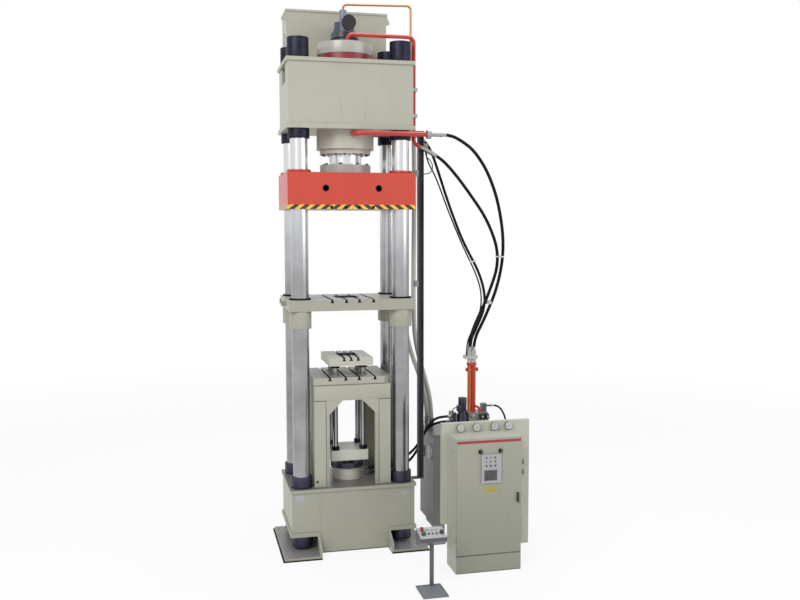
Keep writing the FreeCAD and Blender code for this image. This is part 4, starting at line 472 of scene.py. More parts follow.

# %% [markdown]
# Bare metal comes in three kinds here. Chromed columns and rams are ground and then rubbed by
# bushes and wipers, so they carry long upright scratches and a film of oil. The nuts are blackened
# steel, and the small fittings are turned and zinc-plated. All are metallic surfaces that differ
# in colour, in roughness and in the direction of their scratches. The columns' colour grows
# brighter with height towards the crown: a painted reflection.

# %% Metals
def metal(name, colour, roughness, scratch, contrast=0.25, painted_reflection_between=None):
    finish = Finish(name, Metallic=1.0)
    lines = finish.noise(8.0, 4.0, 0.65, finish.stretched(*scratch))
    film = finish.noise(2.2, 3.0, 0.6)
    body = finish.blend(film, tint(colour, 1.0 - contrast), tint(colour, 1.0 + contrast / 3))
    # Painted reflection: the colour brightens towards the top.
    if painted_reflection_between:
        height = finish.split(finish.place)[2]
        body = finish.blend(height.fade(*painted_reflection_between), body, (0.68, 0.69, 0.70, 1.0))
    finish.set("Base Color", body)
    finish.set("Roughness", lines * 0.16 + film * 0.12 + (roughness - 0.12))
    finish.bump(lines, 0.10, 0.0004)
    return finish.material


chrome = metal("chromed_steel", (0.40, 0.40, 0.41), 0.20, (46.0, 46.0, 0.25), 0.55, (3.4, 5.4))
black_steel = metal("blackened_steel", (0.030, 0.030, 0.048), 0.46, (12.0, 12.0, 12.0))
low_black = metal("blackened_steel_low", (0.070, 0.063, 0.100), 0.46, (12.0, 12.0, 12.0))
bright_steel = metal("zinc_plated_steel", (0.40, 0.40, 0.385), 0.34, (14.0, 14.0, 14.0))
machined = metal("machined_steel", (0.24, 0.235, 0.22), 0.38, (3.0, 90.0, 3.0))
copper = metal("copper_tube", (0.52, 0.27, 0.13), 0.34, (20.0, 20.0, 2.0), 0.4)
print("metals made")

# %% [markdown]
# Rubber hose is black and matt with a little dust in its cover, and the return hoses are a pale,
# milky plastic that lets the oil in them show as a slight change of tone. Buttons and housings are
# moulded plastic. These finishes share one function too: a body colour, a little dust and a fine
# grain.

# %% Rubber and plastic
def moulded(name, colour, roughness, dust=0.15, grain=240.0, coat=0.0, gloss=0.45):
    finish = Finish(name, Coat_Weight=coat, Specular_IOR_Level=gloss)
    cloud = finish.noise(7.0, 4.0, 0.65)
    settled = cloud.fade(0.45, 0.8) * dust
    finish.set("Base Color", finish.blend(settled, tint(colour), (0.42, 0.40, 0.36, 1.0)))
    finish.set("Roughness", cloud * 0.16 + (roughness - 0.08))
    finish.bump(finish.noise(grain, 2.0), 0.15, 0.0004)
    return finish.material


rubber = moulded("hose_rubber", (0.006, 0.006, 0.007), 0.60, 0.012, gloss=0.12)
pale_hose = moulded("pale_hose", (0.46, 0.45, 0.43), 0.34, 0.25, 90.0, 0.2)
cable_black = moulded("cable_sheath", (0.008, 0.008, 0.009), 0.5, 0.02, gloss=0.15)
tie_white = moulded("tie_nylon", (0.62, 0.61, 0.56), 0.4, 0.1)
dial_white = moulded("dial_card", (0.60, 0.60, 0.60), 0.5, 0.03, 500.0)
# Painted glow: the screen's mid grey stands in for its own light.
screen_glass = moulded("screen_glass", (0.300, 0.302, 0.312), 0.12, 0.03, 700.0, 0.6)
plastic_grey = moulded("plastic_grey", (0.30, 0.31, 0.32), 0.5)
plastic_black = moulded("plastic_black", (0.02, 0.02, 0.022), 0.42)
red_button = moulded("red_button", (0.30, 0.012, 0.014), 0.25, 0.05, 300.0, 0.3)
green_button = moulded("green_button", (0.022, 0.040, 0.012), 0.25, 0.05, 300.0, 0.3)
dark_button = moulded("dark_button", (0.05, 0.05, 0.065), 0.28, 0.05, 300.0, 0.3)
pale_lamp = moulded("pale_lamp", (0.36, 0.40, 0.38), 0.18, 0.03, 300.0, 0.5)
green_lamp = moulded("green_lamp", (0.10, 0.32, 0.18), 0.18, 0.03, 300.0, 0.5)
red_lamp = moulded("red_lamp", (0.42, 0.05, 0.05), 0.18, 0.03, 300.0, 0.5)
print("plastics made")

# %% [markdown]
# Most solids keep their shape and only need their finish. The table below says which finish goes
# on which node; a node that a finer piece replaces further down still gets one, so that nothing is
# ever left bare.

# %% Finish every solid
NODE_FINISH = {
    greige: ("crown_frame", "overhead_tank"),
    cylinder_greige: ("main_cylinder",),
    sleeve_greige: ("platen_guides",),
    ejector_greige: ("ejector_cylinder", "ejector_lower_plate"),
    door_greige: ("cabinet_door",),
    shell_greige: ("cabinet_shell",),
    board_greige: ("gauge_cabinet",),
    cap_cream: ("cylinder_cap",),
    base_paint: ("base_frame",),
    table_paint: ("work_table",),
    platen_paint: ("middle_platen",),
    lift_paint: ("ejector_table",),
    gland_paint: ("cylinder_glands",),
    red: ("slide_frame",),
    red_enamel: ("slide_bushes", "top_pressure_pipe", "lower_pressure_pipe"),
    dark_red: ("cylinder_lock_nut",),
    risers_paint: ("riser_pipes",),
    dark_grey: ("oil_tank",),
    rail_black: ("switch_rail",),
    foot_grey: ("pedestal_stand",),
    motor_navy: ("pump_motor",),
    blue_black: ("prefill_valve",),
    desk_grey: ("pedestal_box",),
    panel_grey: ("operator_panel", "control_gear"),
    chrome: ("tie_columns", "main_ram", "lift_rods", "ejector_ram"),
    black_steel: ("column_nuts", "rod_collars"),
    bright_steel: ("hose_fittings",),
    flange_steel: ("ram_flange",),
    manifold_paint: ("valve_manifold",),
    machined: ("rod_bushes",),
    copper: ("pilot_pipe",),
    rubber: ("pressure_hoses", "platen_wipers"),
    cable_black: ("signal_cables",),
    pale_hose: ("return_hoses",),
    plastic_grey: ("limit_switches", "pressure_gauges"),
    plastic_black: ("door_handle", "rotary_knob_1", "rotary_knob_2"),
    pale_lamp: ("panel_lamps", "pedestal_lamps"),
    red_button: ("emergency_stop", "panel_button_1"),
    green_button: ("palm_button_1", "palm_button_2"),
    dark_button: ("push_button_1", "push_button_2", "push_button_3", "panel_button_2",
                  "panel_button_3"),
}


def dress(piece, material):
    """One finish over a whole piece."""
    piece.data.materials.clear()
    piece.data.materials.append(material)


for material, nodes in NODE_FINISH.items():
    for node in nodes:
        dress(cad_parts[node], material)
print("finished", sum(map(len, NODE_FINISH.values())), "of", len(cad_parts), "nodes")

# %% [markdown]
# Hoses are curves: a line of points that the hose was laid through, drawn as a smooth spline with
# a round section. The points are those that the CAD tubes were laid through. A hose leaves its
# fitting straight, bulges out to the right of the machine because it has length to spare for
# bending, and comes down into the next fitting. Its length and diameter are listed with its route.

# %% Hoses and cables
def metres(point):
    """The routes are written in millimetres, as the solids' routes are."""
    return tuple(c / 1000.0 for c in point)


def laid_hose(name, points, diameter, material, replaced):
    """A smooth round hose through its route's points."""
    data = bpy.data.curves.new(name, "CURVE")
    data.dimensions = "3D"
    data.resolution_u = 8
    data.bevel_depth = diameter / 2
    data.bevel_resolution = 4
    data.use_fill_caps = True
    spline = data.splines.new("NURBS")
    spline.points.add(len(points) - 1)
    for point, place in zip(spline.points, points):
        point.co = metres(place) + (1.0,)
    spline.order_u = 3
    spline.use_endpoint_u = True
    hose = bpy.data.objects.new(name, data)
    scene.collection.objects.link(hose)
    data.materials.append(material)
    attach(hose, "press")
    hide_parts(replaced)
    metres(points[0])


PRESSURE_HOSES = (
    ("hose_lower_pipe", 0.046, 3.724,
     ((1235, -610, 5822), (1375, -610, 5822), (1560, -570, 5745), (1760, -525, 5615),
      (1990, -470, 5310), (2180, -395, 4860), (2300, -300, 4250), (2235, -220, 3680),
      (2045, -140, 3170), (1915, -60, 2870), (1915, -60, 2690))),
    ("hose_top_pipe", 0.046, 3.352,
     ((1195, -300, 5590), (1320, -300, 5527.5), (1490, -300, 5365), (1730, -280, 5080),
      (2080, -235, 4620), (2275, -195, 4080), (2110, -150, 3540), (1905, -110, 3090),
      (1850, -60, 2860), (1850, -60, 2690))),
    ("hose_cylinder_side", 0.040, 3.395,
     ((1120, -20, 5824), (1195, -20, 5759), (1275, -20, 5620), (1370, -18, 5360),
      (1535, -15, 4870), (1760, -12, 4310), (2040, -8, 3830), (2130, -5, 3390),
      (1960, -2, 3010), (1885, 8, 2850), (1885, 8, 2690))),
    ("hose_ejector_upper", 0.038, 1.635,
     ((1560, -105, 1745), (1445, -105, 1745), (1325, -80, 1722), (1215, -65, 1620),
      (1130, -40, 1440), (1060, -20, 1240), (940, -5, 1080), (785, 5, 985), (625, 8, 948),
      (470, 0, 960), (330, 0, 960))),
    ("hose_ejector_lower", 0.038, 1.496,
     ((1560, -15, 1650), (1450, -15, 1650), (1345, 10, 1625), (1250, 30, 1575),
      (1165, 50, 1455), (1095, 75, 1300), (975, 100, 1165), (800, 110, 1065), (630, 98, 1015),
      (470, 80, 1005), (330, 80, 1005))),
    ("hose_drain", 0.028, 0.466,
     ((2185, -60, 1870), (2262, -60, 1870), (2338, -70, 1826), (2388, -82, 1742),
      (2418, -95, 1640), (2418, -95, 1540))),
)
RETURN_HOSES = (
    ("hose_return_front", 0.070, 5.709,
     ((800, 790, 6980), (935, 790, 6980), (1059, 787, 6914), (1143, 778, 6790),
      (1167, 758, 6540), (1184, 715, 6125), (1186, 655, 5530), (1160, 572, 4745),
      (1116, 431, 3970), (1090, 340, 3450), (1090, 290, 2960), (1145, 252, 2620),
      (1240, 208, 2265), (1312, 125, 1900), (1312, 125, 1570))),
    ("hose_return_back", 0.070, 5.715,
     ((780, 1000, 6980), (895, 1000, 6980), (1002, 996, 6926), (1076, 986, 6822),
      (1096, 962, 6633), (1075, 925, 6200), (1020, 865, 5400), (995, 815, 4620),
      (998, 765, 3850), (1026, 702, 3130), (1100, 580, 2650), (1215, 420, 2270),
      (1290, 290, 1900), (1290, 290, 1570))),
)
SIGNAL_CABLES = (
    ("cable_to_switches", 0.022, 3.224,
     ((1130, -235, 5640), (1130, -235, 5560), (1172, -230, 5440), (1262, -223, 5290),
      (1360, -212, 5060), (1470, -200, 4780), (1600, -182, 4490), (1735, -168, 4200),
      (1885, -175, 3910), (1992, -190, 3600), (1975, -190, 3285), (1850, -160, 3010),
      (1795, -85, 2820), (1795, -85, 2640))),
    ("cable_upper_switch", 0.014, 0.471,
     ((1090, -225, 5300), (1155, -225, 5300), (1215, -225, 5335), (1235, -225, 5410),
      (1205, -225, 5485), (1145, -225, 5535), (1120, -225, 5590), (1120, -225, 5640))),
    ("cable_motor", 0.014, 0.116,
     ((1575, -110, 1800), (1575, -110, 1831), (1590, -110, 1857), (1616, -110, 1872),
      (1642.5, -110, 1872))),
)
CORDS = (
    (PRESSURE_HOSES, rubber, "stiff", "pressure_hoses"),
    (RETURN_HOSES, pale_hose, "stiff", "return_hoses"),
    (SIGNAL_CABLES, cable_black, "medium", "signal_cables"),
)
for cords, material, stiffness, node in CORDS:
    for name, diameter, length, points in cords:
        laid_hose(name, points, diameter, material, node)
print("hoses:", sum(len(group[0]) for group in CORDS))

# %% [markdown]
# From here on new pieces are modelled. Blender's own tools do it as a person would with the mouse:
# add a primitive at its size, go into edit mode, select some faces, inset or extrude them, and
# bevel the edges at the end. Faces are selected by a test on their centre and normal, and the
# commonest tests have names. A finished piece gets its place written into its mesh, its finish,
# and the body of the machine that it moves with.

# %% Modelling helpers: faces and edges
def select_only(piece):
    bpy.ops.object.select_all(action="DESELECT")
    piece.select_set(True)
    bpy.context.view_layer.objects.active = piece


def begin(add, **settings):
    """A new primitive, with nothing else selected."""
    bpy.ops.object.select_all(action="DESELECT")
    add(**settings)
    return bpy.context.object


def looks_up(centre, normal):
    return normal.z > 0.9


def is_end(centre, normal):
    return abs(normal.z) > 0.9


def looks_forward(centre, normal):
    return normal.y < -0.9


def on_faces(piece, test, *steps):
    """Edit-mode steps on the faces whose centre and normal pass the test."""
    bpy.ops.object.mode_set(mode="EDIT")
    bpy.ops.mesh.select_mode(type="FACE")
    bpy.ops.mesh.select_all(action="DESELECT")
    bpy.ops.object.mode_set(mode="OBJECT")
    for face in piece.data.polygons:
        face.select = bool(test(face.center, face.normal))
    bpy.ops.object.mode_set(mode="EDIT")
    for step in steps:
        step()
    bpy.ops.object.mode_set(mode="OBJECT")


def inset(thickness, each=False):
    return lambda: bpy.ops.mesh.inset(thickness=thickness, use_individual=each)


def push(amount):
    """Extrude each selected face along its normal."""
    along_normal = {"value": amount}
    return lambda: bpy.ops.mesh.extrude_region_shrink_fatten(
        TRANSFORM_OT_shrink_fatten=along_normal)


def bridge():
    bpy.ops.mesh.bridge_edge_loops()


def rib_sides(piece, step, amount):
    """Push out every second side face of a round piece whose faces are so many degrees wide."""
    def is_rib(centre, normal):
        turn = math.degrees(math.atan2(centre.y, centre.x)) / step + 360 / step
        return abs(normal.z) < 0.1 and int(turn) % 2 == 0
    on_faces(piece, is_rib, push(amount))


def soften(piece, width, segments=2):
    """Round the sharp edges with a bevel modifier and apply it."""
    bpy.context.view_layer.objects.active = piece
    bevel = piece.modifiers.new("rounding", "BEVEL")
    bevel.width = width
    bevel.segments = segments
    bevel.limit_method = "ANGLE"
    bpy.ops.object.modifier_apply(modifier=bevel.name)


print("face tools ready")

# %% [markdown]
# A piece is put in its place by a matrix: a place, a direction for the piece's own Z and a turn
# about it. The matrix is written into the mesh, so that the finished piece stays at the origin,
# unturned.

# %% Modelling helpers: places and finished pieces
SIDE = math.radians(90)
UPWARD, FORWARD, BACKWARD, LEFTWARD = ((0.0, 0.0, 1.0), (0.0, -1.0, 0.0), (0.0, 1.0, 0.0),
                                       (-1.0, 0.0, 0.0))


def apply_place():
    bpy.ops.object.transform_apply(location=True, rotation=True, scale=True)


def write_place(piece, matrix):
    """Write a place and a turn into the piece's mesh."""
    piece.matrix_world = matrix
    select_only(piece)
    apply_place()


def spot(place, along=UPWARD, turn=0.0):
    """The matrix of a place, a direction for the piece's own Z and a turn about it."""
    aim = Matrix() if along == UPWARD else Vector(along).to_track_quat("Z", "Y").to_matrix().to_4x4()
    return Matrix.Translation(place) @ aim @ Matrix.Rotation(turn, 4, "Z")


def upright(place, turn=0.0):
    """The matrix of a piece that was made lying on its back and hangs on an upright plate."""
    return Matrix.Translation(place) @ Matrix.Rotation(SIDE, 4, "X") @ Matrix.Rotation(turn, 4, "Z")


def stand(piece, place, along=UPWARD, turn=0.0):
    write_place(piece, spot(place, along, turn))


def turned(piece, angle):
    """The piece, turned about Z."""
    piece.rotation_euler = (0.0, 0.0, angle)
    apply_place()
    return piece


def twin(piece, name, matrix):
    """A copy with its own mesh, put somewhere else."""
    other = piece.copy()
    other.data = piece.data.copy()
    other.name = name
    scene.collection.objects.link(other)
    write_place(other, matrix)
    return other


def settle(piece, name, material, body="press", *replaced, at=None):
    """Place, name, finish and body of a finished piece, and the solids that it replaces."""
    if at:
        stand(piece, *at)
    piece.name = name
    piece.data.name = name
    dress(piece, material)
    select_only(piece)
    bpy.ops.object.shade_smooth_by_angle(angle=math.radians(35))
    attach(piece, body)
    if replaced:
        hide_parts(*replaced)


def joined(pieces):
    """Several meshes made one, for parts that are welded or always sold together."""
    bpy.ops.object.select_all(action="DESELECT")
    for piece in pieces:
        piece.select_set(True)
    bpy.context.view_layer.objects.active = pieces[0]
    bpy.ops.object.join()
    return bpy.context.object


print("placing tools ready")

# %% [markdown]
# Four blanks start nearly every piece: a disc, a turned part whose top is inset and pulled in
# steps, a ring and a slab. All of them stand on the origin or between two given corners.

# %% Modelling helpers: blanks
def disc(radius, height, sides=48):
    """A plain round blank that stands on the origin."""
    blank = begin(bpy.ops.mesh.primitive_cylinder_add, vertices=sides, radius=radius, depth=height,
                  location=(0.0, 0.0, height / 2))
    apply_place()
    return blank


def stepped(radius, height, sides, steps, rounding, segments=2):
    """A turned part: steps on the top of a disc, then rounded rims."""
    blank = disc(radius, height, sides)
    on_faces(blank, looks_up, *steps)
    soften(blank, rounding, segments)
    return blank


def head(radius, height, dome):
    """A turned head with a rounded top."""
    blank = disc(radius, height, 32)
    soften(blank, dome, 4)
    return blank


def ring(radius, bore, height, rounding, sides=48):
    """A round ring: both ends inset to the bore, then bridged through."""
    blank = disc(radius, height, sides)
    on_faces(blank, is_end, inset(radius - bore, each=True))
    on_faces(blank, lambda c, n: is_end(c, n) and math.hypot(c.x, c.y) < 0.2 * bore, bridge)
    soften(blank, rounding)
    return blank


def slab(low, high, rounding):
    """A plate or box between two corners, with its edges broken."""
    blank = begin(bpy.ops.mesh.primitive_cube_add, size=1.0,
                  location=[(a + b) / 2 for a, b in zip(low, high)])
    blank.scale = [b - a for a, b in zip(low, high)]
    apply_place()
    if rounding:
        soften(blank, rounding)
    return blank


def plate(name, low, high, rounding, material, body="press"):
    """A finished slab."""
    settle(slab(low, high, rounding), name, material, body)


print("blanks ready")

# %% [markdown]
# A hex-head bolt with its washer is the commonest detail on the press: it holds down the
# cylinder's cap, both glands, the valve's flange and the guide rings. The cap itself is a turned
# disc whose top is inset twice to leave a shallow groove. The bolts under the upper gland stand
# between those of the ram's flange, which come close to them when the slide is right up. One bolt
# is modelled at its size, and its copies are stood in rings. The chamfer on the head comes from an
# inset and a short extrusion.

# %% Bolts in rings
def bolt_group(name, size, spots, material, body="press"):
    """Equal bolts with washers at several spots, as one piece; the size is the head's corner radius."""
    washer = disc(size * 1.25, size * 0.16, 16)
    bolt_head = disc(size, size * 0.66, 6)
    on_faces(bolt_head, looks_up, inset(size * 0.10), push(size * 0.07))
    blank = joined([bolt_head, washer])
    bolts = [twin(blank, "bolt", matrix) for matrix in spots]
    bpy.data.objects.remove(blank)
    settle(joined(bolts), name, material, body)


def bolt_ring(name, centre, radius, count, size, body="press", up=1.0, phase=0.0):
    """A ring of black bolts on a round flange."""
    x, y, z = centre
    angles = [phase + 2 * math.pi * i / count for i in range(count)]
    spots = [spot((x + radius * math.cos(a), y + radius * math.sin(a), z), (0.0, 0.0, up), a)
             for a in angles]
    bolt_group(name, size, spots, black_steel, body)


cap = stepped(0.390, 0.157, 96, (inset(0.028), inset(0.006), push(-0.003), inset(0.006), push(0.003)),
              0.022, 3)
settle(cap, "cylinder_end_cap", cap_cream, "press", "cylinder_cap", at=((0.0, 0.0, 6.940),))
HALF_A_STEP = math.radians(11.25)
bolt_ring("cap_bolts", (0.0, 0.0, 7.0965), 0.29, 16, 0.022)
bolt_ring("gland_bolts", (0.0, 0.0, 5.566), 0.325, 16, 0.018, up=-1.0, phase=HALF_A_STEP)
bolt_ring("valve_flange_bolts", (0.0, 0.0, 7.25), 0.170, 8, 0.014, phase=0.39)
bolt_ring("lower_gland_bolts", (0.0, 0.0, 1.160), 0.212, 12, 0.012, phase=0.26)
print("bolt rings: 4")

# %% [markdown]
# Each column is held by four large round nuts. In the solids they have flat sides, so round ones
# replace them. A nut is a short stack of bands: the blank's top is extruded twice, so that the
# middle band of side faces can be picked, and every sixth of them is sunk as a hole for the
# spanner. All are rings round the column. The ones low on the press are a little paler and more
# violet.

# %% Column nuts
COLUMN_PLACES = [(x, y) for x in (-0.712, 0.712) for y in (-0.395, 0.395)]
NUT_LEVELS = {"under_ledge": (0.088, 0.250), "on_base": (BASE_TOP, 1.070),
              "under_crown": (5.748, 5.880), "on_crown": (6.820, 7.095)}


def column_nut(height, radius=0.148, bore=0.1205, band=0.045):
    low = (height - band) / 2
    eighth, face_width = math.radians(45), math.radians(7.4)

    def is_spanner_hole(centre, normal):
        on_band = abs(normal.z) < 0.1 and low < centre.z < low + band
        angle = (math.atan2(centre.y, centre.x) + 10 * eighth) % eighth
        return on_band and math.hypot(centre.x, centre.y) > 0.13 and angle < face_width

    nut = disc(radius, low)
    on_faces(nut, looks_up, push(band), push(low))
    on_faces(nut, is_end, inset(radius - bore, each=True))
    on_faces(nut, lambda c, n: is_end(c, n) and math.hypot(c.x, c.y) < 0.02, bridge)
    on_faces(nut, is_spanner_hole, inset(0.003, each=True), push(-0.014))
    soften(nut, 0.007, 3)
    return nut


def on_columns(name, blank, height, material, body, node):
    """Four copies of a blank, one round each column."""
    for number, (x, y) in enumerate(COLUMN_PLACES, 1):
        copy = twin(blank, f"{name}_{number}", spot((x, y, height)))
        settle(copy, copy.name, material, body, node)
    bpy.data.objects.remove(blank)


for where, (low, high) in NUT_LEVELS.items():
    steel = low_black if high < 2.0 else black_steel
    on_columns(f"nut_{where}", column_nut(high - low), low, steel, "press", "column_nuts")
print("column nuts:", len(NUT_LEVELS) * len(COLUMN_PLACES))

# %% [markdown]
# The slide carries four flanged guide rings, the middle platen four guide sleeves below and four
# wiper rings above. All are turned parts, so they are rings with rounded rims, and they replace
# the flat-sided ones of the solids. The guide rings are bolted down with eight bolts each.

# %% Guide rings, sleeves and wipers
GUIDE_TOP = 5.326
COLUMN_RINGS = (
    ("guide_ring", 0.166, SLIDE_TOP, GUIDE_TOP, 0.010, red_enamel, "slide", "slide_bushes"),
    ("guide_sleeve", 0.154, 3.150, 3.395, 0.006, sleeve_greige, "platen", "platen_guides"),
    ("wiper_ring", 0.150, 3.548, 3.570, 0.005, rubber, "platen", "platen_wipers"),
)
for name, radius, low, high, rounding, material, body, node in COLUMN_RINGS:
    on_columns(name, ring(radius, 0.1208, high - low, rounding), low, material, body, node)
for number, place in enumerate(COLUMN_PLACES, 1):
    bolt_ring(f"guide_ring_bolts_{number}", place + (GUIDE_TOP,), 0.145, 8, 0.008, "slide", phase=0.2)
for number, x in enumerate((-0.368, 0.368), 1):
    socket = ring(0.0475, 0.034, 0.03, 0.003, 32)
    settle(socket, f"lifting_socket_{number}", black_steel, "slide", at=((x, -0.536, 5.075), FORWARD))
print("rings round the columns:", len(COLUMN_RINGS) * len(COLUMN_PLACES))

# %% [markdown]
# The electric motor stands upright on the bell housing of its pump, which is wider than the motor.
# The real motor has cooling fins along its body, a smooth fan cowl with a grille on top, and a box
# for its cable at the side. The bell is one disc whose top is inset and pulled up twice. The fins
# are made by picking every second face of the body and extruding it outwards, which is how the
# casting looks too.

# %% Motor
MOTOR_AXIS = (1.744, -0.060)
TANK_TOP = 1.500
bell = stepped(0.095, 0.030, 48, (inset(0.008), push(0.235), inset(0.020), push(0.040)), 0.008, 3)
stand(bell, MOTOR_AXIS + (TANK_TOP,))
motor_body = disc(0.052, 0.125, 72)
rib_sides(motor_body, 5, 0.009)
stand(motor_body, MOTOR_AXIS + (1.790,))
grille = (inset(0.012), push(-0.006), inset(0.008), push(0.006), inset(0.010), push(-0.006))
cowl = stepped(0.064, 0.100, 48, grille, 0.005, 3)
stand(cowl, MOTOR_AXIS + (1.908,))
cable_box = slab((1.6425, -0.145, 1.815), (1.705, -0.075, 1.905), 0.004)
settle(joined([bell, motor_body, cowl, cable_box]), "electric_motor", motor_navy, "press", "pump_motor")
print("motor finished")

# %% [markdown]
# The riser pipes end in a header where the hoses are screwed on. There the photograph shows bright
# unions over flared, painted pipe ends and two ears of a clamp. The unions are hexagons with a
# round collar, and the flares are short rings. The hoses' own points say where each union sits and
# where it looks.

# %% Risers, unions and clamps
for name, x, radius in (("left", 1.850, 0.030), ("right", 1.915, 0.032)):
    flare = ring(radius + 0.012, radius + 0.0005, 0.045, 0.006, 32)
    settle(flare, f"riser_flare_{name}", red_enamel, at=((x, -0.060, 2.488),))
CLAMP_BARS = ((1.795, 2.415, 1.980, 2.440), (1.795, 2.400, 1.822, 2.455), (1.953, 2.400, 1.980, 2.455))
clamp = joined([slab((a, -0.085, b), (c, -0.035, d), 0.004) for a, b, c, d in CLAMP_BARS])
settle(clamp, "riser_clamp", red_enamel)


def union(radius):
    """A hexagon and a ribbed steel sleeve, along Z."""
    nut = disc(radius * 1.55, radius * 0.9, 6)
    soften(nut, radius * 0.08)
    sleeve = disc(radius * 1.22, radius * 1.9, 32)
    on_faces(sleeve, looks_up, push(radius * 0.35), inset(radius * 0.08), push(radius * 0.35))
    stand(sleeve, (0.0, 0.0, radius * 0.85))
    return joined([nut, sleeve])


for name, diameter, length, points in PRESSURE_HOSES + RETURN_HOSES:
    for end, (tip, after) in {"start": points[:2], "end": points[:-3:-1]}.items():
        # Painted shade: the ejector hoses' unions inside the base get dark steel instead of bright.
        in_the_base = name.startswith("hose_ejector") and end == "end"
        steel = low_black if in_the_base else bright_steel
        spot_and_way = Vector(tip) / 1000.0, (Vector(after) - Vector(tip)).normalized()
        settle(union(diameter / 2), f"union_{name}_{end}", steel, at=spot_and_way)
print("unions:", 2 * len(PRESSURE_HOSES + RETURN_HOSES))

# %% [markdown]
# Three pale nylon straps tie the hoses together where they run side by side. Each strap has to sit
# on the hoses' real line, so the line is read from the curve itself, drawn for a moment without
# its round section. At the strap's height the places of the hoses are looked up, and a flat band
# is laid round them.

# %% Straps round the hoses
def point_at_height(name, z):
    """Where a hose's line passes a height."""
    data = bpy.data.objects[name].data.copy()
    data.bevel_depth = 0.0
    bare = bpy.data.objects.new("bare_line", data)
    line = [v.co.copy() for v in bpy.data.meshes.new_from_object(bare).vertices]
    bpy.data.objects.remove(bare)
    return min(line, key=lambda p: abs(p.z - z))


STRAPS = (
    ("strap_cylinder_hose", ("hose_cylinder_side", "cable_to_switches"), 4.03, 0.022),
    ("strap_outer_hoses", ("hose_lower_pipe", "hose_top_pipe"), 4.10, 0.022),
    ("strap_all_hoses", ("hose_lower_pipe", "hose_top_pipe", "hose_cylinder_side"), 3.41, 0.045),
)
for name, hoses, z, width in STRAPS:
    passes = [point_at_height(hose, z) for hose in hoses]
    reach, a, b = max(((a - b).to_2d().length, tuple(a), tuple(b)) for a in passes for b in passes)
    middle = (Vector(a) + Vector(b)) / 2
    band = ring(1.0, 0.93, 1.0, 0.02, 32)
    band.scale = (reach / 2 + 0.034, 0.036, width)
    band.location = (middle.x, middle.y, z)
    settle(turned(band, math.atan2(b[1] - a[1], b[0] - a[0])), name, tie_white)
print("straps:", len(STRAPS))

# %% [markdown]
# The four gauges on the board show working pressure. A gauge is a spun steel case whose front is
# inset and sunk for the dial, a white card with eleven strokes and plain numbers over three
# quarters of a turn, and a pointer. One gauge is modelled lying on its back and then copied to its
# four places.

# %% Pressure gauges
GAUGE_X, GAUGE_HEIGHT, BOARD_FACE = (1.308, 1.534, 1.791, 1.992), 1.857, -1.348
STROKES, FIRST_STROKE, STROKE_STEP = 11, 225, 27


def dial_number(value, angle):
    """A flat number on the dial, upright, at an angle round its middle."""
    bpy.ops.object.text_add(location=(0.0, 0.0, 0.0))
    number = bpy.context.object
    number.data.body = str(value)
    number.data.size = 0.0115
    number.data.align_x = "CENTER"
    number.data.align_y = "CENTER"
    number.data.extrude = 0.0003
    select_only(number)
    bpy.ops.object.convert(target="MESH")
    stand(number, (0.0265 * math.cos(angle), 0.0265 * math.sin(angle), 0.0348))
    return number


marks = []
for i in range(STROKES):
    angle = math.radians(FIRST_STROKE - STROKE_STEP * i)
    is_long = i % 2 == 0
    start = 0.0340 if is_long else 0.0375
    marks.append(turned(slab((start, -0.0009, 0.0345), (0.0440, 0.0009, 0.0352), 0.0002), angle))
    if is_long:
        marks.append(dial_number(i * 5 // 2, angle))
hub = disc(0.005, 0.004, 16)
stand(hub, (0.0, 0.0, 0.034))
hand = turned(slab((-0.010, -0.0012, 0.0356), (0.036, 0.0012, 0.0366), 0.0003),
              math.radians(FIRST_STROKE))
marks = joined(marks + [hub, hand])
case = stepped(0.056, 0.038, 48, (inset(0.007), push(-0.006)), 0.003)
card = disc(0.0485, 0.0025)
stand(card, (0.0, 0.0, 0.0320))
GAUGE_PARTS = ((case, "case", bright_steel), (card, "dial", dial_white), (marks, "marks", plastic_black))
for number, x in enumerate(GAUGE_X, 1):
    for part, name, material in GAUGE_PARTS:
        piece = twin(part, f"gauge_{number}_{name}", upright((x, BOARD_FACE, GAUGE_HEIGHT)))
        settle(piece, piece.name, material, "press", "pressure_gauges")
for part, name, material in GAUGE_PARTS:
    bpy.data.objects.remove(part)
print("gauges:", len(GAUGE_X))

# %% [markdown]
# The electrical cabinet is plain sheet with a few trimmings: a red band along its top, a plate
# behind the handle, two bare plates, and two small catches on the gauge board. The panel in its
# door has a screen under glass, whose mid grey is a painted glow, six lamps and three push
# buttons. Lamps and buttons are turned heads in bright bezels, and each button's head rides on its
# own body, so that it moves when it is pressed; at rest it stands 4.4 mm proud of the panel, which
# leaves room for its travel of 4 mm.

# %% Cabinet trimmings
ON_DOOR, PANEL_FACE, BUTTON_PROUD = DOOR_FACE - 0.0025, -1.799, 0.0044
plate("cabinet_red_band", (1.136, ON_DOOR, 1.733), (2.014, DOOR_FACE, 1.767), 0.0008, band_red, "door")
plate("door_plate", (1.506, ON_DOOR, 1.078), (1.677, DOOR_FACE, 1.146), 0.0008, plate_yellow, "door")
plate("cabinet_side_plate", (1.1242, -1.735, 1.600), (1.126, -1.500, 1.700), 0.0006, bare_plate)
for number, z in enumerate((1.331, 1.192), 1):
    plate(f"board_catch_{number}", (2.196, -1.360, z - 0.035), (2.226, BOARD_FACE, z + 0.035), 0.004,
          machined)
rim = slab((1.489, -1.8015, 1.227), (1.680, -1.7985, 1.383), 0.0010)
on_faces(rim, looks_forward, inset(0.010), push(-0.004))
settle(rim, "screen_frame", plastic_grey, "door")
plate("screen", (1.500, -1.7985, 1.238), (1.669, -1.7965, 1.372), 0.0006, screen_glass, "door")

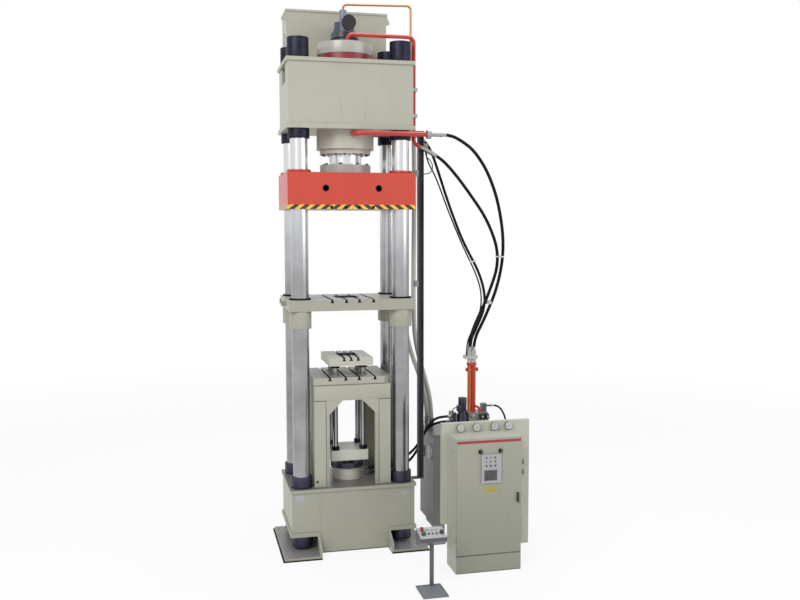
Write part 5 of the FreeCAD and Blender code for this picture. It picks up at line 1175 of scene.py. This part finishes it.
DEVICE_X, LAMP_Z, BUTTON_Z = (1.527, 1.587, 1.648), (1.540, 1.486), 1.432
LAMP_FINISHES = ((dark_button, plastic_grey, dark_button), (pale_lamp, green_lamp, red_lamp))
BUTTON_FINISHES = (red_button, dark_button, dark_button)


def panel_device(x, z, proud, title, *looks):
    """A bright bezel on the panel and a turned head in it."""
    bezel = ring(0.0165, 0.0122, 0.004, 0.001, 32)
    settle(bezel, f"bezel_{title}", bright_steel, "door", at=((x, PANEL_FACE, z), FORWARD))
    settle(head(0.0118, 0.010, 0.004), *looks, at=((x, PANEL_FACE - proud, z), FORWARD))


for row, z in enumerate(LAMP_Z):
    for column, x in enumerate(DEVICE_X):
        title = f"{row + 1}_{column + 1}"
        panel_device(x, z, 0.0, title, f"lamp_{title}", LAMP_FINISHES[row][column], "door", "panel_lamps")
for number, (x, material) in enumerate(zip(DEVICE_X, BUTTON_FINISHES), 1):
    panel_device(x, BUTTON_Z, BUTTON_PROUD, f"3_{number}", f"button_head_{number}", material,
                 f"panel_push_{number}", f"panel_button_{number}")
plate("handle_plate", (1.950, ON_DOOR, 0.900), (1.990, DOOR_FACE, 1.066), 0.001, bright_steel, "door")
print("panel devices: 9")

# %% [markdown]
# The two selector knobs above the panel have a knurled skirt and a grip across it. The skirt's
# knurling is every second side face pushed out a little; the grip is a rounded bar across the
# raised top, with a white line that shows where the knob points.

# %% Selector knobs
for number, x, body in ((1, 1.451, "knob_left"), (2, 1.726, "knob_right")):
    skirt = disc(0.0285, 0.012, 48)
    rib_sides(skirt, 7.5, 0.0012)
    on_faces(skirt, looks_up, inset(0.004), push(0.004))
    soften(skirt, 0.0008, 1)
    knob = joined([skirt, slab((-0.024, -0.007, 0.012), (0.024, 0.007, 0.032), 0.003)])
    line = turned(slab((-0.0012, -0.023, 0.0318), (0.0012, -0.006, 0.0325), 0.0002), SIDE)
    for part, name, material in ((knob, "knob", plastic_black), (line, "knob_line", tie_white)):
        write_place(part, upright((x, DOOR_FACE, 1.620), SIDE))
        settle(part, f"{name}_{number}", material, body, f"rotary_knob_{number}")
print("knobs: 2")

# %% [markdown]
# The two-hand desk slopes towards the operator. Its emergency stop is a mushroom: a wide rounded
# head on a narrow neck. The two palm buttons sit in raised collars, so that a sleeve can't press
# them, and the small push buttons and lamps stand in bezels. Everything on the desk is stood
# square to its slope. A head that can be pressed stands as far above the desk as it travels, and
# half a millimetre more.

# %% Desk of the pedestal
DESK_BACK_Y, DESK_BACK_Z = -2.000, 0.750
DESK_SLOPE = math.atan2(0.060, 0.250)
DESK_UP = (0.0, -math.sin(DESK_SLOPE), math.cos(DESK_SLOPE))
WIDE_LIFT, SMALL_LIFT = 0.0085, 0.0045


def on_desk(name, blank, place, lift, material, body="press", *replaced):
    """Stand a device on the slope, so far above it, and finish it."""
    x, y = place
    foot = Vector((x, y, DESK_BACK_Z + (y - DESK_BACK_Y) * math.tan(DESK_SLOPE)))
    settle(blank, name, material, body, *replaced, at=(foot + Vector(DESK_UP) * lift, DESK_UP))


def mushroom(radius, height):
    """A stem with a wide, rounded head."""
    neck = disc(radius * 0.62, height * 0.45, 32)
    cap = head(radius, height * 0.55, height * 0.20)
    stand(cap, (0.0, 0.0, height * 0.45))
    return joined([neck, cap])


STOP_PLACE = (0.577, -2.074)
PALM_BUTTONS = (((0.579, -2.163), "palm_left"), ((0.816, -2.152), "palm_right"))
PUSH_BUTTONS = (((0.648, -2.155), "push_left"), ((0.697, -2.160), "push_middle"),
                ((0.747, -2.164), "push_right"))
DESK_LAMPS = (((0.646, -2.062), pale_lamp), ((0.709, -2.069), pale_lamp),
              ((0.759, -2.076), plastic_grey), ((0.822, -2.084), pale_lamp))
on_desk("stop_head", mushroom(0.0238, 0.0395), STOP_PLACE, WIDE_LIFT, red_button, "stop_button",
        "emergency_stop")
on_desk("stop_collar", ring(0.030, 0.0245, 0.006, 0.002, 32), STOP_PLACE, 0.0, plate_yellow)
for number, (place, body) in enumerate(PALM_BUTTONS, 1):
    on_desk(f"palm_head_{number}", head(0.0257, 0.0335, 0.010), place, WIDE_LIFT, green_button, body,
            f"palm_button_{number}")
    on_desk(f"palm_collar_{number}", ring(0.0310, 0.0275, 0.010, 0.002, 32), place, 0.0, dark_grey)
for number, (place, body) in enumerate(PUSH_BUTTONS, 1):
    on_desk(f"push_head_{number}", head(0.0108, 0.0135, 0.003), place, SMALL_LIFT, dark_button, body,
            f"push_button_{number}")
    on_desk(f"push_bezel_{number}", ring(0.0155, 0.0118, 0.004, 0.001, 32), place, 0.0, bright_steel)
for number, (place, material) in enumerate(DESK_LAMPS, 1):
    on_desk(f"desk_lamp_{number}", head(0.0108, 0.0115, 0.004), place, 0.0, material, "press",
            "pedestal_lamps")
    on_desk(f"lamp_bezel_{number}", ring(0.0155, 0.0112, 0.004, 0.001, 32), place, 0.0, bright_steel)
RIM_BARS = ((0.505, -2.440, 0.830, -2.428), (0.505, -2.055, 0.830, -2.043),
            (0.505, -2.428, 0.517, -2.055), (0.818, -2.428, 0.830, -2.055))
foot_rim = joined([slab((a, b, 0.012), (c, d, 0.020), 0.002) for a, b, c, d in RIM_BARS])
settle(foot_rim, "pedestal_foot_rim", dark_grey)
print("desk devices:", 1 + len(PALM_BUTTONS) + len(PUSH_BUTTONS) + len(DESK_LAMPS))

# %% [markdown]
# The power unit has a few things that a fitter handles: two valves with black coils on the front
# of the manifold, a hand knob at its right end, a round cleaning cover on the tank's left wall, a
# level glass beside it, and a filler with a breather cap. A red elbow leads from the riser into
# the manifold: it is a circle spun through a quarter of a turn, with its doubles merged and its
# normals recalculated. The cover is a disc with an inset lip and a ring of bolts; the level glass
# is a bright frame whose front is inset and sunk for the glass.

# %% Power unit fittings
def level_glass(name, place, height):
    """A bright frame with a sunk window in a left wall, and the glass in it."""
    top = height / 2
    bar = slab((-0.020, -top, 0.0), (0.020, top, 0.014), 0.002)
    on_faces(bar, looks_up, inset(0.008), push(-0.006))
    pane = slab((-0.011, 0.009 - top, 0.002), (0.011, top - 0.009, 0.009), 0.0)
    for part, title, material in ((bar, name, bright_steel), (pane, name + "_pane", plate_yellow)):
        settle(part, title, material, at=(place, LEFTWARD))


def breather(name, radius, height, steps, place):
    """A bright cap that lets air into a tank."""
    settle(stepped(radius, height, 32, steps, 0.003), name, bright_steel, at=(place,))


for number, x in enumerate((1.970, 2.050), 1):
    coil = slab((x, -0.222, 1.706), (x + 0.062, -0.160, 1.776), 0.006)
    on_faces(coil, looks_forward, inset(0.010), push(0.010))
    settle(coil, f"valve_coil_{number}", plastic_black)
    settle(head(0.017, 0.022, 0.004), f"valve_tip_{number}", bright_steel,
           at=((x + 0.031, -0.230, 1.741), FORWARD))
knob = joined([disc(0.010, 0.050, 24), head(0.024, 0.028, 0.006)])
settle(knob, "manifold_knob", black_steel, at=((2.110, -0.100, 1.690), (1.0, 0.0, 0.0)))
elbow = begin(bpy.ops.mesh.primitive_circle_add, vertices=24, radius=0.018,
              location=(1.930, -0.100, 1.875), rotation=(0.0, SIDE, 0.0))
apply_place()
bpy.ops.object.mode_set(mode="EDIT")
bpy.ops.mesh.select_all(action="SELECT")
bpy.ops.mesh.spin(steps=12, angle=-SIDE, center=(1.930, -0.100, 1.800), axis=(0.0, 1.0, 0.0))
bpy.ops.mesh.select_all(action="SELECT")
bpy.ops.mesh.remove_doubles(threshold=0.00001)
bpy.ops.mesh.fill_holes(sides=0)
bpy.ops.mesh.normals_make_consistent(inside=False)
bpy.ops.object.mode_set(mode="OBJECT")
collar = ring(0.032, 0.0185, 0.018, 0.003, 32)
stand(collar, (2.005, -0.100, 1.790))
settle(joined([elbow, collar]), "manifold_elbow", red_enamel)
plate("riser_flange_plate", (1.832, -0.174, 1.728), (1.902, -0.160, 1.766), 0.004, bright_steel)
TANK_WALL, COVER_Y, COVER_Z = 1.248, -0.055, 1.215
cover = stepped(0.120, 0.016, 48, (inset(0.034), push(0.006)), 0.003)
settle(cover, "cleaning_cover", cap_cream, at=((TANK_WALL, COVER_Y, COVER_Z), LEFTWARD))
angles = [math.radians(45 * i) for i in range(8)]
spots = [spot((TANK_WALL - 0.016, COVER_Y + 0.103 * math.cos(a), COVER_Z + 0.103 * math.sin(a)), LEFTWARD)
         for a in angles]
bolt_group("cleaning_cover_bolts", 0.009, spots, bright_steel)
level_glass("oil_level_glass", (TANK_WALL, 0.300, 1.150), 0.16)
breather("filler_breather", 0.045, 0.050, (inset(0.008), push(0.006), push(0.030)),
         (2.150, 0.380, TANK_TOP))
print("power unit fittings: 2 valves, knob, cover, level glass, filler")

# %% [markdown]
# From behind, from above and from the sides the machine shows other things: a bolted lid with a
# breather on the overhead tank, a level glass in its side, louvres in the cabinet's right wall
# that let warm air out, the unions of the gauges on the back of their board, and a cover over the
# work behind the base. A louvre is one slab whose front face is pulled out and then drawn down
# towards its mouth; it is modelled once and copied.

# %% Lid, louvres and covers
LID_LOW, LID_TOP, BASE_BACK, COVER_BACK = 7.700, 7.712, 0.562, 0.570
plate("tank_lid", (-0.560, 0.700, LID_LOW), (0.560, 1.100, LID_TOP), 0.002, greige)
edge_spots = [(x, y) for x in (-0.53, -0.265, 0.0, 0.265, 0.53) for y in (0.73, 1.07)]
spots = [spot((x, y, LID_TOP)) for x, y in edge_spots + [(-0.53, 0.90), (0.53, 0.90)]]
bolt_group("tank_lid_bolts", 0.009, spots, bright_steel)
breather("tank_breather", 0.040, 0.030, (inset(0.010), push(0.008), push(0.022)),
         (0.300, 1.020, LID_TOP))
level_glass("tank_level_glass", (-0.742, 0.900, 7.250), 0.30)

louvre = slab((-0.060, -0.010, -0.001), (0.060, 0.012, 0.001), 0.0)
on_faces(louvre, looks_up, push(0.009))
for corner in louvre.data.vertices:
    if corner.co.z > 0.005:
        corner.co.x *= 0.90
        corner.co.y = -0.008 if corner.co.y < 0.0 else -0.002
soften(louvre, 0.0015)
for block, y in enumerate((-1.640, -1.480), 1):
    rows = [Matrix.Translation((2.023, y, 0.420 + 0.040 * i)) for i in range(8)]
    vents = [twin(louvre, "louvre", row @ Matrix.Rotation(SIDE, 4, "Z") @ Matrix.Rotation(SIDE, 4, "X"))
             for row in rows]
    settle(joined(vents), f"cabinet_louvres_{block}", door_greige)
bpy.data.objects.remove(louvre)
for number, x in enumerate(GAUGE_X, 1):
    settle(union(0.011), f"gauge_union_{number}", bright_steel,
           at=((x, -1.278, GAUGE_HEIGHT), BACKWARD))
plate("base_rear_cover", (-0.300, BASE_BACK, 0.420), (0.300, COVER_BACK, 0.780), 0.002, base_paint)
spots = [spot((x, COVER_BACK, z), BACKWARD) for x in (-0.27, 0.0, 0.27) for z in (0.45, 0.75)]
bolt_group("rear_cover_bolts", 0.010, spots, bright_steel)
print("lid, breather, 16 louvres, 4 gauge unions and a rear cover")

# %% [markdown]
# The base's ledge runs all round in the solid, but in front the photograph shows it only over the
# two feet: between them the front plate goes down without a break. So a copy of the solid stands
# in for it. A CAD mesh is loose triangles, so its doubles are merged first, and then a boolean
# modifier takes the middle of the ledge away, in front and at the back. All its visible faces are
# flat plates, so it is shaded flat: smooth shading would smear the long thin triangles that a
# boolean leaves.

# %% Base without the ledge between its feet
base = bpy.data.objects.new("base_body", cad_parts["base_frame"].data.copy())
scene.collection.objects.link(base)
select_only(base)
bpy.ops.object.mode_set(mode="EDIT")
bpy.ops.mesh.select_all(action="SELECT")
bpy.ops.mesh.remove_doubles(threshold=0.00002)
bpy.ops.object.mode_set(mode="OBJECT")
before = len(base.data.polygons)
for near, far in ((-0.60, BASE_FACE), (BASE_BACK, 0.60)):
    cutter = slab((-0.4895, near, 0.20), (0.4895, far, 0.34), 0.0)
    select_only(base)
    cut = base.modifiers.new("cut", "BOOLEAN")
    cut.operation = "DIFFERENCE"
    cut.object = cutter
    cut.solver = "EXACT"
    bpy.ops.object.modifier_apply(modifier=cut.name)
    bpy.data.objects.remove(cutter)
settle(base, "base_body", base_paint, "press", "base_frame")
bpy.ops.object.shade_flat()
print("base faces:", before, "then", len(base.data.polygons))

# %% [markdown]
# The base and the table carry small welded and riveted things: two bare plates on the base's
# front, stiffening plates on the front of the table, above the arch and down its legs, and foot
# strips where the legs are welded to the base. They are thin, but their edges catch the light and
# break up the large plain faces, as they do in the photograph. Each foot stands on a black rubber
# mat that is a little wider than its plate, so its edge is laid round the plate as three flat
# strips.

# %% Plates on the base and the table
ON_BASE = BASE_FACE - 0.002
BARE_PLATES = (((-0.820, 0.742), (-0.695, 0.842)), ((0.680, 0.735), (0.818, 0.805)))
for number, ((left, low), (right, high)) in enumerate(BARE_PLATES, 1):
    plate(f"bare_plate_{number}", (left, ON_BASE, low), (right, BASE_FACE, high), 0.0006, bare_plate)
    rivet = head(0.0035, 0.002, 0.001)
    rivets = [twin(rivet, "rivet", spot((x, ON_BASE, z), FORWARD)) for x in (left + 0.009, right - 0.009)
              for z in (low + 0.009, high - 0.009)]
    bpy.data.objects.remove(rivet)
    settle(joined(rivets), f"plate_rivets_{number}", bright_steel)
SIDES = (("left", -1.0), ("right", 1.0))
for name, side in SIDES:
    inner, outer = sorted((side * 0.329, side * 0.372))
    plate(f"table_leg_strip_{name}", (inner, -0.4885, 0.936), (outer, TABLE_FACE, 1.934), 0.001,
          shop_greige)
plate("table_front_plate", (-0.5435, -0.4890, 2.140), (0.5435, TABLE_FACE, 2.3445), 0.001, greige)
for name, side in SIDES:
    inner, edge, outer = side * 0.490, side * 1.010, side * 1.030
    strips = ((inner, -0.835, edge, -0.815), (edge, -0.835, outer, 0.604), (inner, 0.584, edge, 0.604))
    mat = joined([slab((min(a, c), b, 0.0), (max(a, c), d, 0.014), 0.003) for a, b, c, d in strips])
    settle(mat, f"foot_mat_{name}", rubber)
for name, side in SIDES:
    inner, outer = sorted((side * 0.325, side * 0.548))
    plate(f"table_foot_{name}", (inner, -0.500, BASE_TOP + 0.0002), (outer, -0.4845, 0.936), 0.002,
          shop_greige)
switch = joined([slab((-0.930, -0.060, 3.435), (-0.881, 0.050, 3.505), 0.004),
                 slab((-0.955, -0.015, 3.470), (-0.930, 0.005, 3.540), 0.003)])
settle(switch, "platen_switch", plastic_grey, "platen")
print("plates on base and table finished")
